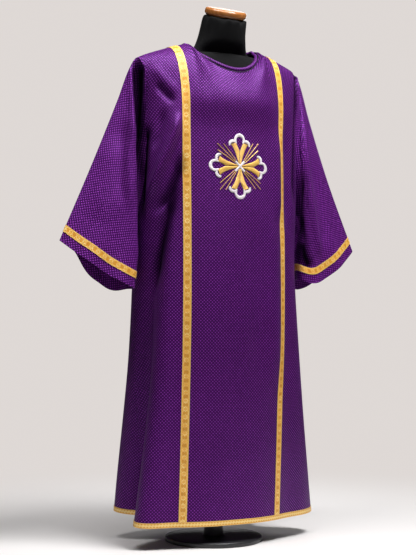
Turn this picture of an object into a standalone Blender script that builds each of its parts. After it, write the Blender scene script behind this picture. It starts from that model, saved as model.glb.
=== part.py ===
# A dalmatic, the wide-sleeved vestment of a deacon, standing on a limbless dress form.
# Metres, +Z up. The front faces -Y and the wearer's right is -X.
# The origin is on the floor, at the middle of the pole.

import math
from collections import namedtuple

import bpy
import numpy as np
from mathutils import Vector
from mathutils.bvhtree import BVHTree

# ---- driving dimensions -------------------------------------------------------------------

WALL = 0.0015              # thickness of the woven cloth
BRAID_THICKNESS = 0.0010   # gold braid sewn on the cloth
GAP = 0.0003               # air left between neighbours

SHOULDER_Y = -0.030        # the shoulder seam hangs this far in front of the pole
HEM = 0.060                # height of the front hem
ARMPIT = 0.900             # height of the underarm point
CHEST = 1.170              # above this line the panels turn over the shoulders
HEM_LIFT = 0.020           # how much higher the hem hangs behind than in front

NECK_HALF_WIDTH = 0.1085
NECK_HEIGHT = 1.358        # height of the neck corners
NECK_FRONT_DEPTH = 0.104   # how far the neck hole reaches forward of the shoulder seam
NECK_FRONT_DROP = 0.083
NECK_BACK_DEPTH = 0.060
NECK_BACK_DROP = 0.010
BINDING_RADIUS = 0.0040

CLAVUS_CENTRE = 0.147      # from the centre line to the middle of each long braid
CLAVUS_WIDTH = 0.023
HEM_BRAID_WIDTH = 0.014
CUFF_BRAID_WIDTH = 0.019
CUFF_BRAID_UP = 0.026      # plain cloth below the cuff braid
ARMHOLE_HALF = 0.030       # half the front-to-back opening of the armhole

Section = namedtuple("Section", "height half_width front back side roundness")
BODY = (                   # level sections; y values are measured from the shoulder seam
    Section(0.060, 0.240, -0.094, 0.290, 0.105, 2.50),
    Section(0.350, 0.234, -0.112, 0.240, 0.075, 2.40),
    Section(0.650, 0.234, -0.125, 0.190, 0.040, 2.25),
    Section(0.900, 0.2385, -0.124, 0.150, 0.010, 2.05),
    Section(1.170, 0.2385, -0.119, 0.125, 0.000, 1.90),
)
BACK_ROUNDNESS = 2.1

Fold = namedtuple("Fold", "centre kind top end top_place end_place depth width")
FOLDS = (                  # places are measured along the cloth from that panel's centre line
    Fold("front", "flute", 1.02, HEM, -0.175, -0.245, 0.046, 0.050),
    Fold("front", "flute", 1.00, HEM, -0.215, -0.345, -0.085, 0.050),
    Fold("front", "flute", 0.85, HEM, 0.200, 0.300, 0.080, 0.070),
    Fold("front", "flute", 0.80, HEM, 0.260, 0.410, -0.030, 0.050),
    Fold("front", "crease", 1.22, 0.86, -0.150, -0.275, 0.013, 0.020),
    Fold("front", "crease", 1.10, 0.40, 0.030, 0.060, 0.006, 0.040),
    Fold("back", "flute", 0.95, HEM, -0.150, -0.260, 0.016, 0.050),
    Fold("back", "flute", 0.95, HEM, 0.150, 0.250, 0.036, 0.050),
    Fold("back", "flute", 0.95, HEM, 0.020, 0.030, 0.026, 0.048),
    Fold("back", "flute", 0.90, HEM, -0.060, -0.115, -0.020, 0.040),
    Fold("back", "flute", 0.90, HEM, 0.075, 0.140, -0.022, 0.040),
)

Crest = namedtuple("Crest", "x height")
SHOULDER = (               # the line over the shoulder, from the neck corner to the seam
    Crest(0.1085, 1.3580),
    Crest(0.1470, 1.3455),
    Crest(0.2000, 1.3270),
    Crest(0.2300, 1.3150),
    Crest(0.2430, 1.3085),
)
TIP_X = SHOULDER[-1].x

Ring = namedtuple("Ring", "along out_x out_y out_z in_x in_y in_z front back front_sag back_sag")
SLEEVE = (                 # rings of a sleeve between its outer line and its underarm line
    Ring(0.04, 0.2530, 0.000, 1.3005, 0.2425, 0.006, 0.890, 0.038, 0.036, 0.000, 0.000),
    Ring(0.10, 0.2640, 0.003, 1.2800, 0.2480, 0.008, 0.872, 0.050, 0.046, 0.000, 0.000),
    Ring(0.30, 0.2970, 0.010, 1.1900, 0.2520, 0.012, 0.830, 0.056, 0.058, 0.000, 0.002),
    Ring(0.60, 0.3610, 0.018, 1.0300, 0.2560, 0.016, 0.768, 0.058, 0.068, 0.004, 0.010),
    Ring(1.00, 0.4550, 0.020, 0.8150, 0.2640, 0.018, 0.692, 0.060, 0.075, 0.010, 0.024),
)

UNDERARM_RISE = {-1: 0.000, 1: 0.036}   # the left cuff is caught up higher under the arm

SleeveFold = namedtuple("SleeveFold", "layer place_top place_end depth width")
SLEEVE_FOLDS = (           # place is the share of the way from the outer line to the underarm
    SleeveFold("front", 0.45, 0.35, 0.007, 0.10),
    SleeveFold("front", 0.75, 0.62, -0.008, 0.09),
    SleeveFold("back", 0.50, 0.40, 0.008, 0.12),
    SleeveFold("back", 0.78, 0.68, -0.009, 0.10),
)

FormRing = namedtuple("FormRing", "height y half_width half_depth across_power depth_power lean")
FORM = (                   # torso and neck; lean is the forward tilt of the ring, in degrees
    FormRing(0.640, 0.030, 0.150, 0.092, 2.2, 2.2, 0.0),
    FormRing(0.655, 0.030, 0.166, 0.106, 2.2, 2.2, 0.0),
    FormRing(0.720, 0.028, 0.172, 0.112, 2.2, 2.2, 0.0),
    FormRing(0.860, 0.020, 0.152, 0.098, 2.1, 2.1, 0.0),
    FormRing(0.960, 0.014, 0.160, 0.104, 2.1, 2.1, 0.0),
    FormRing(1.080, 0.010, 0.182, 0.110, 2.1, 2.1, 0.0),
    FormRing(1.180, 0.008, 0.208, 0.096, 2.2, 2.2, 0.0),
    FormRing(1.240, 0.004, 0.222, 0.078, 2.2, 2.2, 0.0),
    FormRing(1.280, 0.000, 0.224, 0.060, 2.0, 2.0, 0.0),
)
Carry = namedtuple("Carry", "x clear half_depth")
FORM_CREST = (             # the form's shoulder under the seam, and its clearance from the cloth
    Carry(0.2050, 0.0000, 0.050),
    Carry(0.1800, 0.0000, 0.048),
    Carry(0.1500, 0.0050, 0.040),
    Carry(0.1280, 0.0150, 0.038),
    Carry(0.1120, 0.0200, 0.038),
)
CREST_POWER = 1.3
CREST_TOP = 1.335          # the form is fitted to the cloth up to this height
SHOULDER_SLOPE = math.radians(20)
CREST_Y = -0.006
FORM_NECK = (
    FormRing(1.3395, -0.007, 0.0920, 0.042, 1.5, 1.5, 1.0),
    FormRing(1.3500, -0.010, 0.0800, 0.050, 1.8, 1.8, 3.0),
    FormRing(1.3680, -0.015, 0.0710, 0.061, 2.0, 2.0, 6.0),
    FormRing(1.3900, -0.021, 0.0640, 0.062, 2.0, 2.0, 11.0),
    FormRing(1.4350, -0.038, 0.0610, 0.062, 2.0, 2.0, 20.0),
)
CAP_LEAN = 20.0            # degrees, forward
CAP_RADIUS = 0.0575
CAP_THICKNESS = 0.020
CAP_ROUNDING = 0.007

POLE_RADIUS = 0.016
BASE_RADIUS = 0.135
BASE_THICKNESS = 0.014
BASE_ROUNDING = 0.005

CROSS_HALF = 0.0865        # from the middle of the cross to the end of an arm
CROSS_HEIGHT = 1.018
CROSS_THICKNESS = 0.0012
CROSS_GAP = 0.0007

# ---- how finely the cloth is divided ------------------------------------------------------

NECK_CELLS = 5             # columns from the centre line to the neck corner
SIDE_CELLS = 10            # columns from the long braid to the side seam
SEAM_COLUMN = 0.006        # width of the last column at a seam
SKIRT_ROWS = 12            # rows from the hem braid to the underarm
ARMHOLE_ROWS = 5           # rows from the underarm to the chest line
SHOULDER_ROWS = 8          # rows from the chest line over to the shoulder seam
SLEEVE_ROWS = 9            # rings from the armhole to the cuff braid

PURPLE = ((0.100, 0.015, 0.190), 0.55, 0.0)      # base colour, roughness, metallic
DARK_PURPLE = ((0.070, 0.010, 0.140), 0.60, 0.0)
GOLD = ((0.850, 0.520, 0.090), 0.40, 0.4)
SILVER_THREAD = ((0.850, 0.850, 0.880), 0.35, 0.0)
BLACK = ((0.010, 0.010, 0.011), 0.80, 0.0)
WOOD = ((0.480, 0.190, 0.050), 0.30, 0.0)
STEEL = ((0.030, 0.030, 0.032), 0.40, 0.8)


# ---- small maths --------------------------------------------------------------------------

def read_smoothly(rows, key, value):
    """Every column of a table at one value of its key column, on a smooth curve."""
    table = np.array(rows, float)
    keys = table[:, rows[0]._fields.index(key)]
    slopes = np.gradient(table, keys, axis=0)
    i = int(np.clip(np.searchsorted(keys, value) - 1, 0, len(keys) - 2))
    step = keys[i + 1] - keys[i]
    t = (value - keys[i]) / step
    start = (1 + 2 * t) * (1 - t) ** 2 * table[i] + t * (1 - t) ** 2 * step * slopes[i]
    end = t * t * (3 - 2 * t) * table[i + 1] + t * t * (t - 1) * step * slopes[i + 1]
    return type(rows[0])(*(start + end))


def hermite(start, end, leave, arrive, t):
    """A point on the cubic curve from start to end with the given end tangents."""
    return ((1 + 2 * t) * (1 - t) ** 2 * start + t * (1 - t) ** 2 * leave
            + t * t * (3 - 2 * t) * end + t * t * (t - 1) * arrive)


def unit(vectors):
    return vectors / np.linalg.norm(vectors, axis=-1, keepdims=True)


def grid_normals(grid, closed=False):
    """Unit normals of a grid of points, rows first; they follow (along a row) x (up a column)."""
    if closed:
        wrapped = np.concatenate([grid[:, -1:], grid, grid[:, :1]], axis=1)
        across = (wrapped[:, 2:] - wrapped[:, :-2]) / 2
    else:
        across = np.gradient(grid, axis=1)
    up = np.gradient(grid, axis=0)
    return unit(np.cross(across, up))


def ease(share):
    share = np.clip(share, 0, 1)
    return share * share * (3 - 2 * share)


# ---- the body of the garment --------------------------------------------------------------

def half_ring(height):
    """The right half of the level section, from the front centre to the back centre."""
    body = read_smoothly(BODY, "height", height)
    angle = np.linspace(0, math.pi, 361)
    ahead = angle <= math.pi / 2
    power = np.where(ahead, 2 / body.roundness, 2 / BACK_ROUNDNESS)
    reach = np.where(ahead, body.front, body.back) - body.side
    x = body.half_width * np.sin(angle).clip(0, 1) ** power
    y = body.side + reach * np.abs(np.cos(angle)) ** power
    steps = np.hypot(np.diff(x), np.diff(y))
    along = np.concatenate([[0], np.cumsum(steps)])
    return x, y, along, along[180]


def armhole_opening(height):
    """Half the gap between the front and back edges at the armhole."""
    share = (height - ARMPIT) / (CHEST - ARMPIT)
    return ARMHOLE_HALF * math.sqrt(min(max(share, 0), 1))


def side_places(start, edge):
    """Even columns from the long braid outward, and a narrow one at the seam."""
    return np.append(np.linspace(start, edge - SEAM_COLUMN, SIDE_CELLS)[1:], edge)


def column_places(height, panel):
    """Distances of the columns from the centre line, along the cloth, on the left half."""
    side = half_ring(height)[3]
    if panel == "back":
        side = half_ring(height)[2][-1] - side
    edge = side - GAP / 2 - armhole_opening(height)
    inner = CLAVUS_CENTRE - CLAVUS_WIDTH / 2
    outer = CLAVUS_CENTRE + CLAVUS_WIDTH / 2
    neck = np.linspace(0, NECK_HALF_WIDTH, NECK_CELLS + 1)
    return np.concatenate([neck, [inner, outer], side_places(outer, edge)])


def both_halves(values):
    return np.concatenate([-values[:0:-1], values])


def body_row(height, panel):
    """One level row of points of a panel, without folds, from the wearer's right to the left."""
    x, y, along, _ = half_ring(height)
    places = both_halves(column_places(height, panel))
    position = np.abs(places) if panel == "front" else along[-1] - np.abs(places)
    points = np.empty((len(places), 3))
    points[:, 0] = np.sign(places) * np.interp(position, along, x)
    points[:, 1] = SHOULDER_Y + np.interp(position, along, y)
    points[:, 2] = height
    return points


def top_row(panel):
    """The upper edge of a panel: the neck curve between two shoulder lines."""
    turn = np.linspace(0, math.pi / 2, NECK_CELLS + 1)
    deep = NECK_FRONT_DEPTH if panel == "front" else -NECK_BACK_DEPTH
    drop = NECK_FRONT_DROP if panel == "front" else NECK_BACK_DROP
    neck = np.stack([NECK_HALF_WIDTH * np.sin(turn),
                     -deep * np.cos(turn),
                     NECK_HEIGHT - drop * np.cos(turn) ** 1.5], axis=1)
    inner = CLAVUS_CENTRE - CLAVUS_WIDTH / 2
    outer = CLAVUS_CENTRE + CLAVUS_WIDTH / 2
    xs = np.concatenate([[inner, outer], side_places(outer, TIP_X)])
    crest = np.array([read_smoothly(SHOULDER, "x", x).height for x in xs])
    seam = np.stack([xs, np.zeros(len(xs)), crest], axis=1)
    half = np.concatenate([neck, seam])
    half[:, 1] += SHOULDER_Y + (-GAP / 2 if panel == "front" else GAP / 2)
    mirrored = half[:0:-1] * np.array([-1, 1, 1])
    return np.concatenate([mirrored, half])


def arriving_directions(panel):
    """Which way the cloth runs where it reaches the upper edge."""
    ahead = 1 if panel == "front" else -1
    turn = np.linspace(0, math.pi / 2, NECK_CELLS + 1)
    lean = 0.30 + 0.70 * np.sin(turn) ** 2
    neck = np.stack([np.zeros(len(turn)), ahead * lean, np.cos(turn) ** 2 + 0.02], axis=1)
    seam = np.tile([0.0, ahead, 0.02], (SIDE_CELLS + 2, 1))
    half = unit(np.concatenate([neck, seam]))
    return np.concatenate([half[:0:-1] * np.array([-1, 1, 1]), half])


def skirt_heights():
    braid_top = HEM + HEM_BRAID_WIDTH
    skirt = np.linspace(braid_top, ARMPIT, SKIRT_ROWS + 1)
    share = (np.arange(1, ARMHOLE_ROWS + 1) / ARMHOLE_ROWS) ** 1.3
    return np.concatenate([[HEM], skirt, ARMPIT + (CHEST - ARMPIT) * share])


def hem_lift(grid):
    """How far each point is raised so that the hem climbs towards the back."""
    back = BODY[0].back + SHOULDER_Y
    front = BODY[0].front + SHOULDER_Y
    behind = ease((grid[:, :, 1] - front) / (back - front))
    low = np.clip(1 - (grid[:, :, 2] - HEM) / (0.5 * (ARMPIT - HEM)), 0, 1)
    return HEM_LIFT * behind * low


def fold_push(grid, panel):
    """How far the folds move each point of an unfolded panel outward."""
    push = np.zeros(grid.shape[:2])
    for r, row in enumerate(grid):
        height = min(float(row[0, 2]), CHEST) if r < len(skirt_heights()) else CHEST
        along = half_ring(height)[2]
        places = both_halves(column_places(height, panel))
        other = np.where(places < 0, -1, 1) * (along[-1] - np.abs(places))
        for fold in FOLDS:
            share = np.clip((fold.top - row[:, 2]) / (fold.top - fold.end), 0, 1)
            place = fold.top_place + (fold.end_place - fold.top_place) * share
            distance = (places if fold.centre == panel else other) - place
            if fold.kind == "flute":
                amount = share ** 1.4
                width = fold.width * (0.55 + 0.45 * share)
            else:
                amount = np.sin(math.pi * share)
                width = fold.width
            push[r] += fold.depth * amount * np.exp(-(distance / width) ** 2)
    return push


def lay_seam_flat(edge_a, inner_a, edge_b, inner_b):
    """Bring the points on either side of a seam onto one straight run across it."""
    across = unit(unit(edge_a - inner_a) + unit(inner_b - edge_b))
    reach_a = np.linalg.norm(edge_a - inner_a, axis=1, keepdims=True)
    reach_b = np.linalg.norm(edge_b - inner_b, axis=1, keepdims=True)
    middle = (edge_a + edge_b) / 2
    edge_a[:] = middle - across * GAP / 2
    edge_b[:] = middle + across * GAP / 2
    inner_a[:] = edge_a - across * reach_a
    inner_b[:] = edge_b + across * reach_b


def make_panels():
    """The outer faces of the front and the back as grids of points, rows from the hem up."""
    grids = {}
    for panel in ("front", "back"):
        rows = [body_row(height, panel) for height in skirt_heights()]
        below = body_row(CHEST - 0.01, panel)
        climb = (rows[-1] - below) / 0.01
        top = top_row(panel)
        span = np.linalg.norm(top - rows[-1], axis=1, keepdims=True)
        arrive = arriving_directions(panel) * span * 1.15
        for share in np.linspace(0, 1, SHOULDER_ROWS + 1)[1:]:
            rows.append(hermite(rows[len(skirt_heights()) - 1], top, climb * span, arrive, share))
        grids[panel] = np.array(rows)
    outward = {"front": grid_normals(grids["front"]), "back": -grid_normals(grids["back"])}
    below_arm = len(skirt_heights()) - ARMHOLE_ROWS
    for edge in (0, -1):
        shared = unit(outward["front"][:below_arm, edge] + outward["back"][:below_arm, edge])
        outward["front"][:below_arm, edge] = shared
        outward["back"][:below_arm, edge] = shared
    for panel, grid in grids.items():
        push = fold_push(grid, panel)[:, :, None]
        grid += outward[panel] * push
        grid[:, :, 2] += hem_lift(grid)
    front, back = grids["front"], grids["back"]
    for edge, before in ((0, 1), (-1, -2)):
        lay_seam_flat(front[:below_arm, edge], front[:below_arm, before],
                      back[:below_arm, edge], back[:below_arm, before])
    for outside in (slice(None, SIDE_CELLS + 3), slice(-SIDE_CELLS - 3, None)):
        lay_seam_flat(front[-1, outside], front[-2, outside],
                      back[-1, outside], back[-2, outside])
    return front, back


# ---- sleeves ------------------------------------------------------------------------------

def ring_points(ring, shares, layer, rise):
    """One layer of a sleeve ring; shares run from the outer line to the underarm line."""
    outer = np.array([ring.out_x, ring.out_y, ring.out_z])
    inner = np.array([ring.in_x, ring.in_y, ring.in_z])
    depth = -ring.front if layer == "front" else ring.back
    bulge = shares ** 0.7 * np.sqrt(np.clip(1 - shares ** 8, 0, 1))
    for fold in SLEEVE_FOLDS:
        if fold.layer == layer:
            place = fold.place_top + (fold.place_end - fold.place_top) * ring.along
            lift = fold.depth * ring.along / abs(depth)
            bulge = bulge + lift * np.exp(-((shares - place) / fold.width) ** 2)
    points = outer + (inner - outer) * shares[:, None]
    points[:, 1] += SHOULDER_Y + depth * bulge
    if layer == "front":
        points[:, 2] -= ring.front_sag * np.sin(math.pi * shares) ** 0.8
    else:
        drop = ease((shares - 0.28) / 0.30) * (1 - shares ** 10)
        points[:, 2] -= ring.back_sag * (drop - 0.5 * np.sin(math.pi * np.clip(shares / 0.45, 0, 1)))
    points[:, 2] += rise * ring.along * shares ** 8
    return points


def armhole_loop(front, back, edge):
    """The armhole edge of both panels, down the front and up the back, and how they run out."""
    first = len(skirt_heights()) - 1 - ARMHOLE_ROWS
    before = 1 if edge == 0 else -2
    lines = [grid[first:, edge] for grid in (front, back)]
    runs = [unit(grid[first:, edge] - grid[first:, before]) for grid in (front, back)]
    return lines[0][::-1], lines[1], runs[0][::-1], runs[1]


def make_sleeve(front, back, side):
    """A sleeve's outer face as rings of points, from the armhole to the cuff."""
    flip = np.array([side, 1, 1])
    loop = armhole_loop(front, back, -1 if side > 0 else 0)
    down, up, run_down, run_up = [line * flip for line in loop]
    count = len(down) - 1
    start = np.concatenate([down[:-1], up[:-1]])
    run = np.concatenate([run_down[:-1], run_up[:-1]])
    start[0] = (down[0] + up[-1]) / 2
    start[count] = (down[-1] + up[0]) / 2
    run[0] = unit(run_down[0] + run_up[-1])
    open_share = np.clip(np.abs(down - up[::-1])[:, 1] / (2 * ARMHOLE_HALF), 0, 1)
    run[:, 1] *= 0.5 * np.concatenate([open_share[:-1], open_share[:0:-1]])
    run = unit(run + np.array([0.3, 0, 0]))
    run[count] = unit(np.array([1, 0, -0.6]))
    start = start + run * 1.4 * GAP
    around = (1 - np.cos(math.pi * np.arange(count + 1) / count)) / 2
    stations = [start]
    for ring in SLEEVE:
        spread = min(ring.along / 0.30, 1)
        length = np.concatenate([[0], np.cumsum(np.linalg.norm(np.diff(down, axis=0), axis=1))])
        shares = (1 - spread) * length / length[-1] + spread * around
        ahead = ring_points(ring, shares, "front", UNDERARM_RISE[side])
        behind = ring_points(ring, shares, "back", UNDERARM_RISE[side])[::-1]
        stations.append(np.concatenate([ahead[:-1], behind[:-1]]))
    stations = np.array(stations)
    knots = np.array([0.0] + [ring.along for ring in SLEEVE])
    slopes = np.gradient(stations, knots, axis=0)
    slopes[0] = run * np.linalg.norm(slopes[0], axis=1, keepdims=True) * 0.5
    length = np.linalg.norm(slopes[-1], axis=1)

    def at(place, column):
        i = int(np.clip(np.searchsorted(knots, place) - 1, 0, len(knots) - 2))
        step = knots[i + 1] - knots[i]
        return hermite(stations[i, column], stations[i + 1, column],
                       slopes[i, column] * step, slopes[i + 1, column] * step,
                       (place - knots[i]) / step)

    columns = range(stations.shape[1])
    braid_top = 1 - (CUFF_BRAID_UP + CUFF_BRAID_WIDTH) / length
    shares = np.concatenate([[0, 0.04, 0.12], np.linspace(0.12, 1, SLEEVE_ROWS - 1)[1:]])
    rows = [[at(share * braid_top[c], c) for c in columns] for share in shares]
    rows[1] = start + run * SEAM_COLUMN
    for distance in (CUFF_BRAID_UP, 0.0):
        rows.append([at(1 - distance / length[c], c) for c in columns])
    return np.array(rows) * flip


# ---- meshes -------------------------------------------------------------------------------

def material(name, finish):
    colour, roughness, metallic = finish
    made = bpy.data.materials.new(name)
    made.use_nodes = True
    shader = made.node_tree.nodes["Principled BSDF"]
    shader.inputs["Base Color"].default_value = (*colour, 1)
    shader.inputs["Roughness"].default_value = roughness
    shader.inputs["Metallic"].default_value = metallic
    return made


def new_object(name, mesh, finish):
    made = bpy.data.objects.new(name, mesh)
    mesh.materials.append(material(name, finish))
    collection.objects.link(made)
    return made


def smooth(mesh, degrees=50):
    mesh.shade_smooth()
    mesh.set_sharp_from_angle(angle=math.radians(degrees))


def grid_faces(rows, columns, closed):
    """Quads of a grid, or of a tube where each row closes on itself."""
    faces = []
    for r in range(rows - 1):
        for c in range(columns if closed else columns - 1):
            n = (c + 1) % columns
            faces.append((r * columns + c, r * columns + n,
                          (r + 1) * columns + n, (r + 1) * columns + c))
    return faces


def sheet(name, grid, finish, thickness=WALL, outward=False, closed=False, flipped=False):
    """A wall through a grid of points; its thickness goes in, or out for what lies on top."""
    rows, columns = grid.shape[:2]
    mesh = bpy.data.meshes.new(name)
    faces = grid_faces(rows, columns, closed)
    if flipped:
        faces = [face[::-1] for face in faces]
    mesh.from_pydata(grid.reshape(-1, 3).tolist(), [], faces)
    mesh.update()
    smooth(mesh)
    made = new_object(name, mesh, finish)
    wall = made.modifiers.new("wall", "SOLIDIFY")
    wall.thickness = thickness
    wall.offset = 1 if outward else -1
    wall.use_quality_normals = True
    return made


def loft(name, rings, finish):
    """A closed body through rings of points, with flat ends."""
    rows, columns = rings.shape[:2]
    faces = grid_faces(rows, columns, True)
    faces.append(tuple(range(columns))[::-1])
    faces.append(tuple((rows - 1) * columns + c for c in range(columns)))
    mesh = bpy.data.meshes.new(name)
    mesh.from_pydata(rings.reshape(-1, 3).tolist(), [], faces)
    mesh.update()
    smooth(mesh)
    return new_object(name, mesh, finish)


def torus(name, rings, finish):
    """A closed tube whose last ring joins its first."""
    rows, columns = rings.shape[:2]
    mesh = bpy.data.meshes.new(name)
    joined = np.concatenate([np.arange(rows * columns), np.arange(columns)])
    faces = [tuple(int(joined[i]) for i in face[::-1])
             for face in grid_faces(rows + 1, columns, True)]
    mesh.from_pydata(rings.reshape(-1, 3).tolist(), [], faces)
    mesh.update()
    smooth(mesh)
    return new_object(name, mesh, finish)


def turned(name, profile, finish, steps=40):
    """A turned body about Z; the profile starts on the axis at the top and ends on it below."""
    mesh = bpy.data.meshes.new(name)
    edges = [(i, i + 1) for i in range(len(profile) - 1)]
    mesh.from_pydata([(radius, 0, z) for radius, z in profile], edges, [])
    made = new_object(name, mesh, finish)
    screw = made.modifiers.new("turn", "SCREW")
    screw.steps = steps
    screw.render_steps = steps
    screw.use_merge_vertices = True
    screw.merge_threshold = 0.0001
    screw.use_smooth_shade = False
    return made


def rounded_disc(radius, thickness, rounding, arcs=4):
    """Profile of a flat disc with a rounded upper and lower rim, top down."""
    profile = [(0, thickness)]
    for start, level in ((0.0, thickness - rounding), (math.pi / 2, rounding)):
        for i in range(arcs + 1):
            turn = start + math.pi / 2 * i / arcs
            profile.append((radius - rounding + rounding * math.sin(turn),
                            level + rounding * math.cos(turn)))
    profile.append((0, 0))
    return profile


# ---- trims that lie on the cloth ----------------------------------------------------------

def clavus(front, back, normals_front, normals_back, side):
    """The points under a long braid: up the front, over the shoulder and down the back."""
    middle = front.shape[1] // 2
    first = middle + side * (NECK_CELLS + 1)
    columns = [first, first + side] if side > 0 else [first + side, first]
    strips = []
    for grid, normals in ((front, normals_front), (back, normals_back)):
        lifted = grid + normals * GAP
        strip = lifted[1:, columns].copy()
        strip[0] += unit(strip[1] - strip[0]) * GAP
        strips.append(strip)
    seam = (strips[0][-1:] + strips[1][-1:]) / 2
    return np.concatenate([strips[0][:-1], seam, strips[1][-2::-1]])


def hem_ring(front, back, normals_front, normals_back):
    """The points under the hem braid, all the way round."""
    ahead = (front + normals_front * GAP)[:2]
    behind = (back + normals_back * GAP)[:2, ::-1]
    return np.concatenate([ahead, behind[:, 1:-1]], axis=1)


def tube_ring(centres, radius, sides=6):
    """Rings of a closed tube about a closed line of points."""
    ahead = unit(np.roll(centres, -1, axis=0) - np.roll(centres, 1, axis=0))
    up = np.array([0.0, 0.0, 1.0])
    outer = unit(np.cross(ahead, up))
    over = np.cross(outer, ahead)
    turn = 2 * math.pi * np.arange(sides) / sides
    return (centres[:, None] + radius * (np.cos(turn)[None, :, None] * outer[:, None]
                                         + np.sin(turn)[None, :, None] * over[:, None]))


def neck_binding(front, back, normals_front, normals_back):
    """The roll of cloth round the neck hole, set just inside the edge of the panels."""
    middle = front.shape[1] // 2
    span = slice(middle - NECK_CELLS, middle + NECK_CELLS + 1)
    edge = np.concatenate([front[-1, span], back[-1, span][::-1][1:-1]])
    face = np.concatenate([normals_front[-1, span], normals_back[-1, span][::-1][1:-1]])
    run = unit(np.roll(edge, -1, axis=0) - np.roll(edge, 1, axis=0))
    inward = unit(np.cross(face, run))
    centres = edge + inward * (BINDING_RADIUS + 1.6 * GAP) - face * WALL / 2
    return tube_ring(centres, BINDING_RADIUS)


def fork_edges():
    """A pair of flared petals: outer and inner edge, as (along the arm, across it) shares."""
    run = np.linspace(-1, 1, 15)
    size = np.abs(run)
    outer = np.stack([0.07 + 0.53 * size ** 0.85, np.sign(run) * 0.31 * size ** 2.1], axis=1)
    inner = np.stack([0.36 + 0.29 * size ** 0.9, np.sign(run) * 0.085 * size ** 0.9], axis=1)
    outer[:, 1] += 0.035 * np.sin(math.pi * run)
    return outer, inner


def tip_edges():
    """A three-lobed tip: a scallop, an open loop and a scallop, as two edges."""
    outer = [(0.62, -0.375), (0.71, -0.370), (0.775, -0.310), (0.785, -0.225)]
    inner = [(0.66, -0.320), (0.695, -0.290), (0.715, -0.240), (0.735, -0.160)]
    turn = np.radians(np.linspace(-128, 128, 13))
    ring = np.stack([np.cos(turn), np.sin(turn)], axis=1)
    centre = np.array([0.80, 0.0])
    loop_outer = centre + ring * 0.200
    loop_inner = centre + ring * 0.120
    flip = np.array([1, -1])
    outer, inner = np.array(outer), np.array(inner)
    return (np.concatenate([outer, loop_outer, outer[::-1] * flip]),
            np.concatenate([inner, loop_inner, inner[::-1] * flip]))


def chest_point(front, x, z):
    """The point of the front panel's face at a place seen from straight ahead."""
    rows = slice(len(skirt_heights()) - ARMHOLE_ROWS - 3, len(skirt_heights()))
    heights = front[rows, front.shape[1] // 2, 2]
    depths = [np.interp(x, row[:, 0], row[:, 1]) for row in front[rows]]
    return np.array([x, np.interp(z, heights, depths), z])


def on_chest(front, edges, quarter):
    """Two edges of one arm of the cross, turned by quarters and laid on the chest."""
    grid = []
    turn = math.pi / 2 * quarter
    for edge in edges:
        line = []
        for along, across in edge * CROSS_HALF:
            x = along * math.sin(turn) + across * math.cos(turn)
            z = CROSS_HEIGHT + along * math.cos(turn) - across * math.sin(turn)
            point = chest_point(front, x, z)
            right = chest_point(front, x + 0.005, z) - point
            up = chest_point(front, x, z + 0.005) - point
            line.append(point + unit(np.cross(right, up)) * CROSS_GAP)
        grid.append(line)
    return np.array(grid)


# ---- the dress form -----------------------------------------------------------------------

def form_ring(row, sides=28):
    """One ring of the form, tilted forward by its lean."""
    turn = 2 * math.pi * np.arange(sides) / sides
    across = np.sign(np.cos(turn)) * np.abs(np.cos(turn)) ** (2 / row.across_power)
    deep = np.sign(np.sin(turn)) * np.abs(np.sin(turn)) ** (2 / row.depth_power)
    x = row.half_width * across
    y = row.half_depth * deep
    lean = math.radians(row.lean)
    return np.stack([x, SHOULDER_Y + row.y + y * math.cos(lean),
                     row.height + y * math.sin(lean)], axis=1)


def form_rows():
    """Torso, shoulders that follow the cloth from below, and the leaning neck."""
    rows = list(FORM)
    under = WALL + GAP
    for row in FORM_CREST:
        crest = read_smoothly(SHOULDER, "x", row.x).height - under / math.cos(SHOULDER_SLOPE)
        rows.append(FormRing(crest - row.clear, CREST_Y, row.x, row.half_depth,
                             CREST_POWER, CREST_POWER, 0.0))
    rows.extend(FORM_NECK)
    return rows


def surface_tree(grid):
    """A search tree over one panel's outer face."""
    rows, columns = grid.shape[:2]
    corners = [tuple(point) for point in grid.reshape(-1, 3)]
    return BVHTree.FromPolygons(corners, grid_faces(rows, columns, False))


def under_cloth(ring, trees):
    """The ring with any point that would touch the cloth moved back inside it."""
    clearance = WALL + GAP
    for point in ring:
        for tree in trees:
            place, normal, _, reach = tree.find_nearest(Vector(point))
            height = (Vector(point) - place).dot(normal)
            if reach < 0.04 and point[2] < CREST_TOP and height > -clearance:
                point -= np.array(normal) * (height + clearance)
    return ring


# ---- the model ----------------------------------------------------------------------------

for old in list(bpy.data.objects):
    bpy.data.objects.remove(old, do_unlink=True)
collection = bpy.data.collections.new("dalmatic")
bpy.context.scene.collection.children.link(collection)

front, back = make_panels()
front_out = grid_normals(front)
back_out = -grid_normals(back)
sheet("front_panel", front, PURPLE)
sheet("back_panel", back, PURPLE, flipped=True)

for side, name in ((-1, "right"), (1, "left")):
    sleeve = make_sleeve(front, back, side)
    sleeve_out = grid_normals(sleeve, closed=True) * side
    sheet(f"sleeve_{name}", sleeve, PURPLE, closed=True, flipped=side < 0)
    trim = (sleeve + sleeve_out * GAP)[-3:-1]
    sheet(f"cuff_braid_{name}", trim, GOLD, BRAID_THICKNESS, True, True, side < 0)
    strip = clavus(front, back, front_out, back_out, side)
    sheet(f"clavus_{name}", strip, GOLD, BRAID_THICKNESS, True)

sheet("hem_braid", hem_ring(front, back, front_out, back_out), GOLD, BRAID_THICKNESS, True, True)
torus("neck_binding", neck_binding(front, back, front_out, back_out), DARK_PURPLE)

for quarter, arm in enumerate(("upper", "left", "lower", "right")):
    sheet(f"cross_petals_{arm}", on_chest(front, fork_edges(), quarter), GOLD,
          CROSS_THICKNESS, True)
    sheet(f"cross_tip_{arm}", on_chest(front, tip_edges(), quarter), SILVER_THREAD,
          CROSS_THICKNESS, True, flipped=True)

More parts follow.
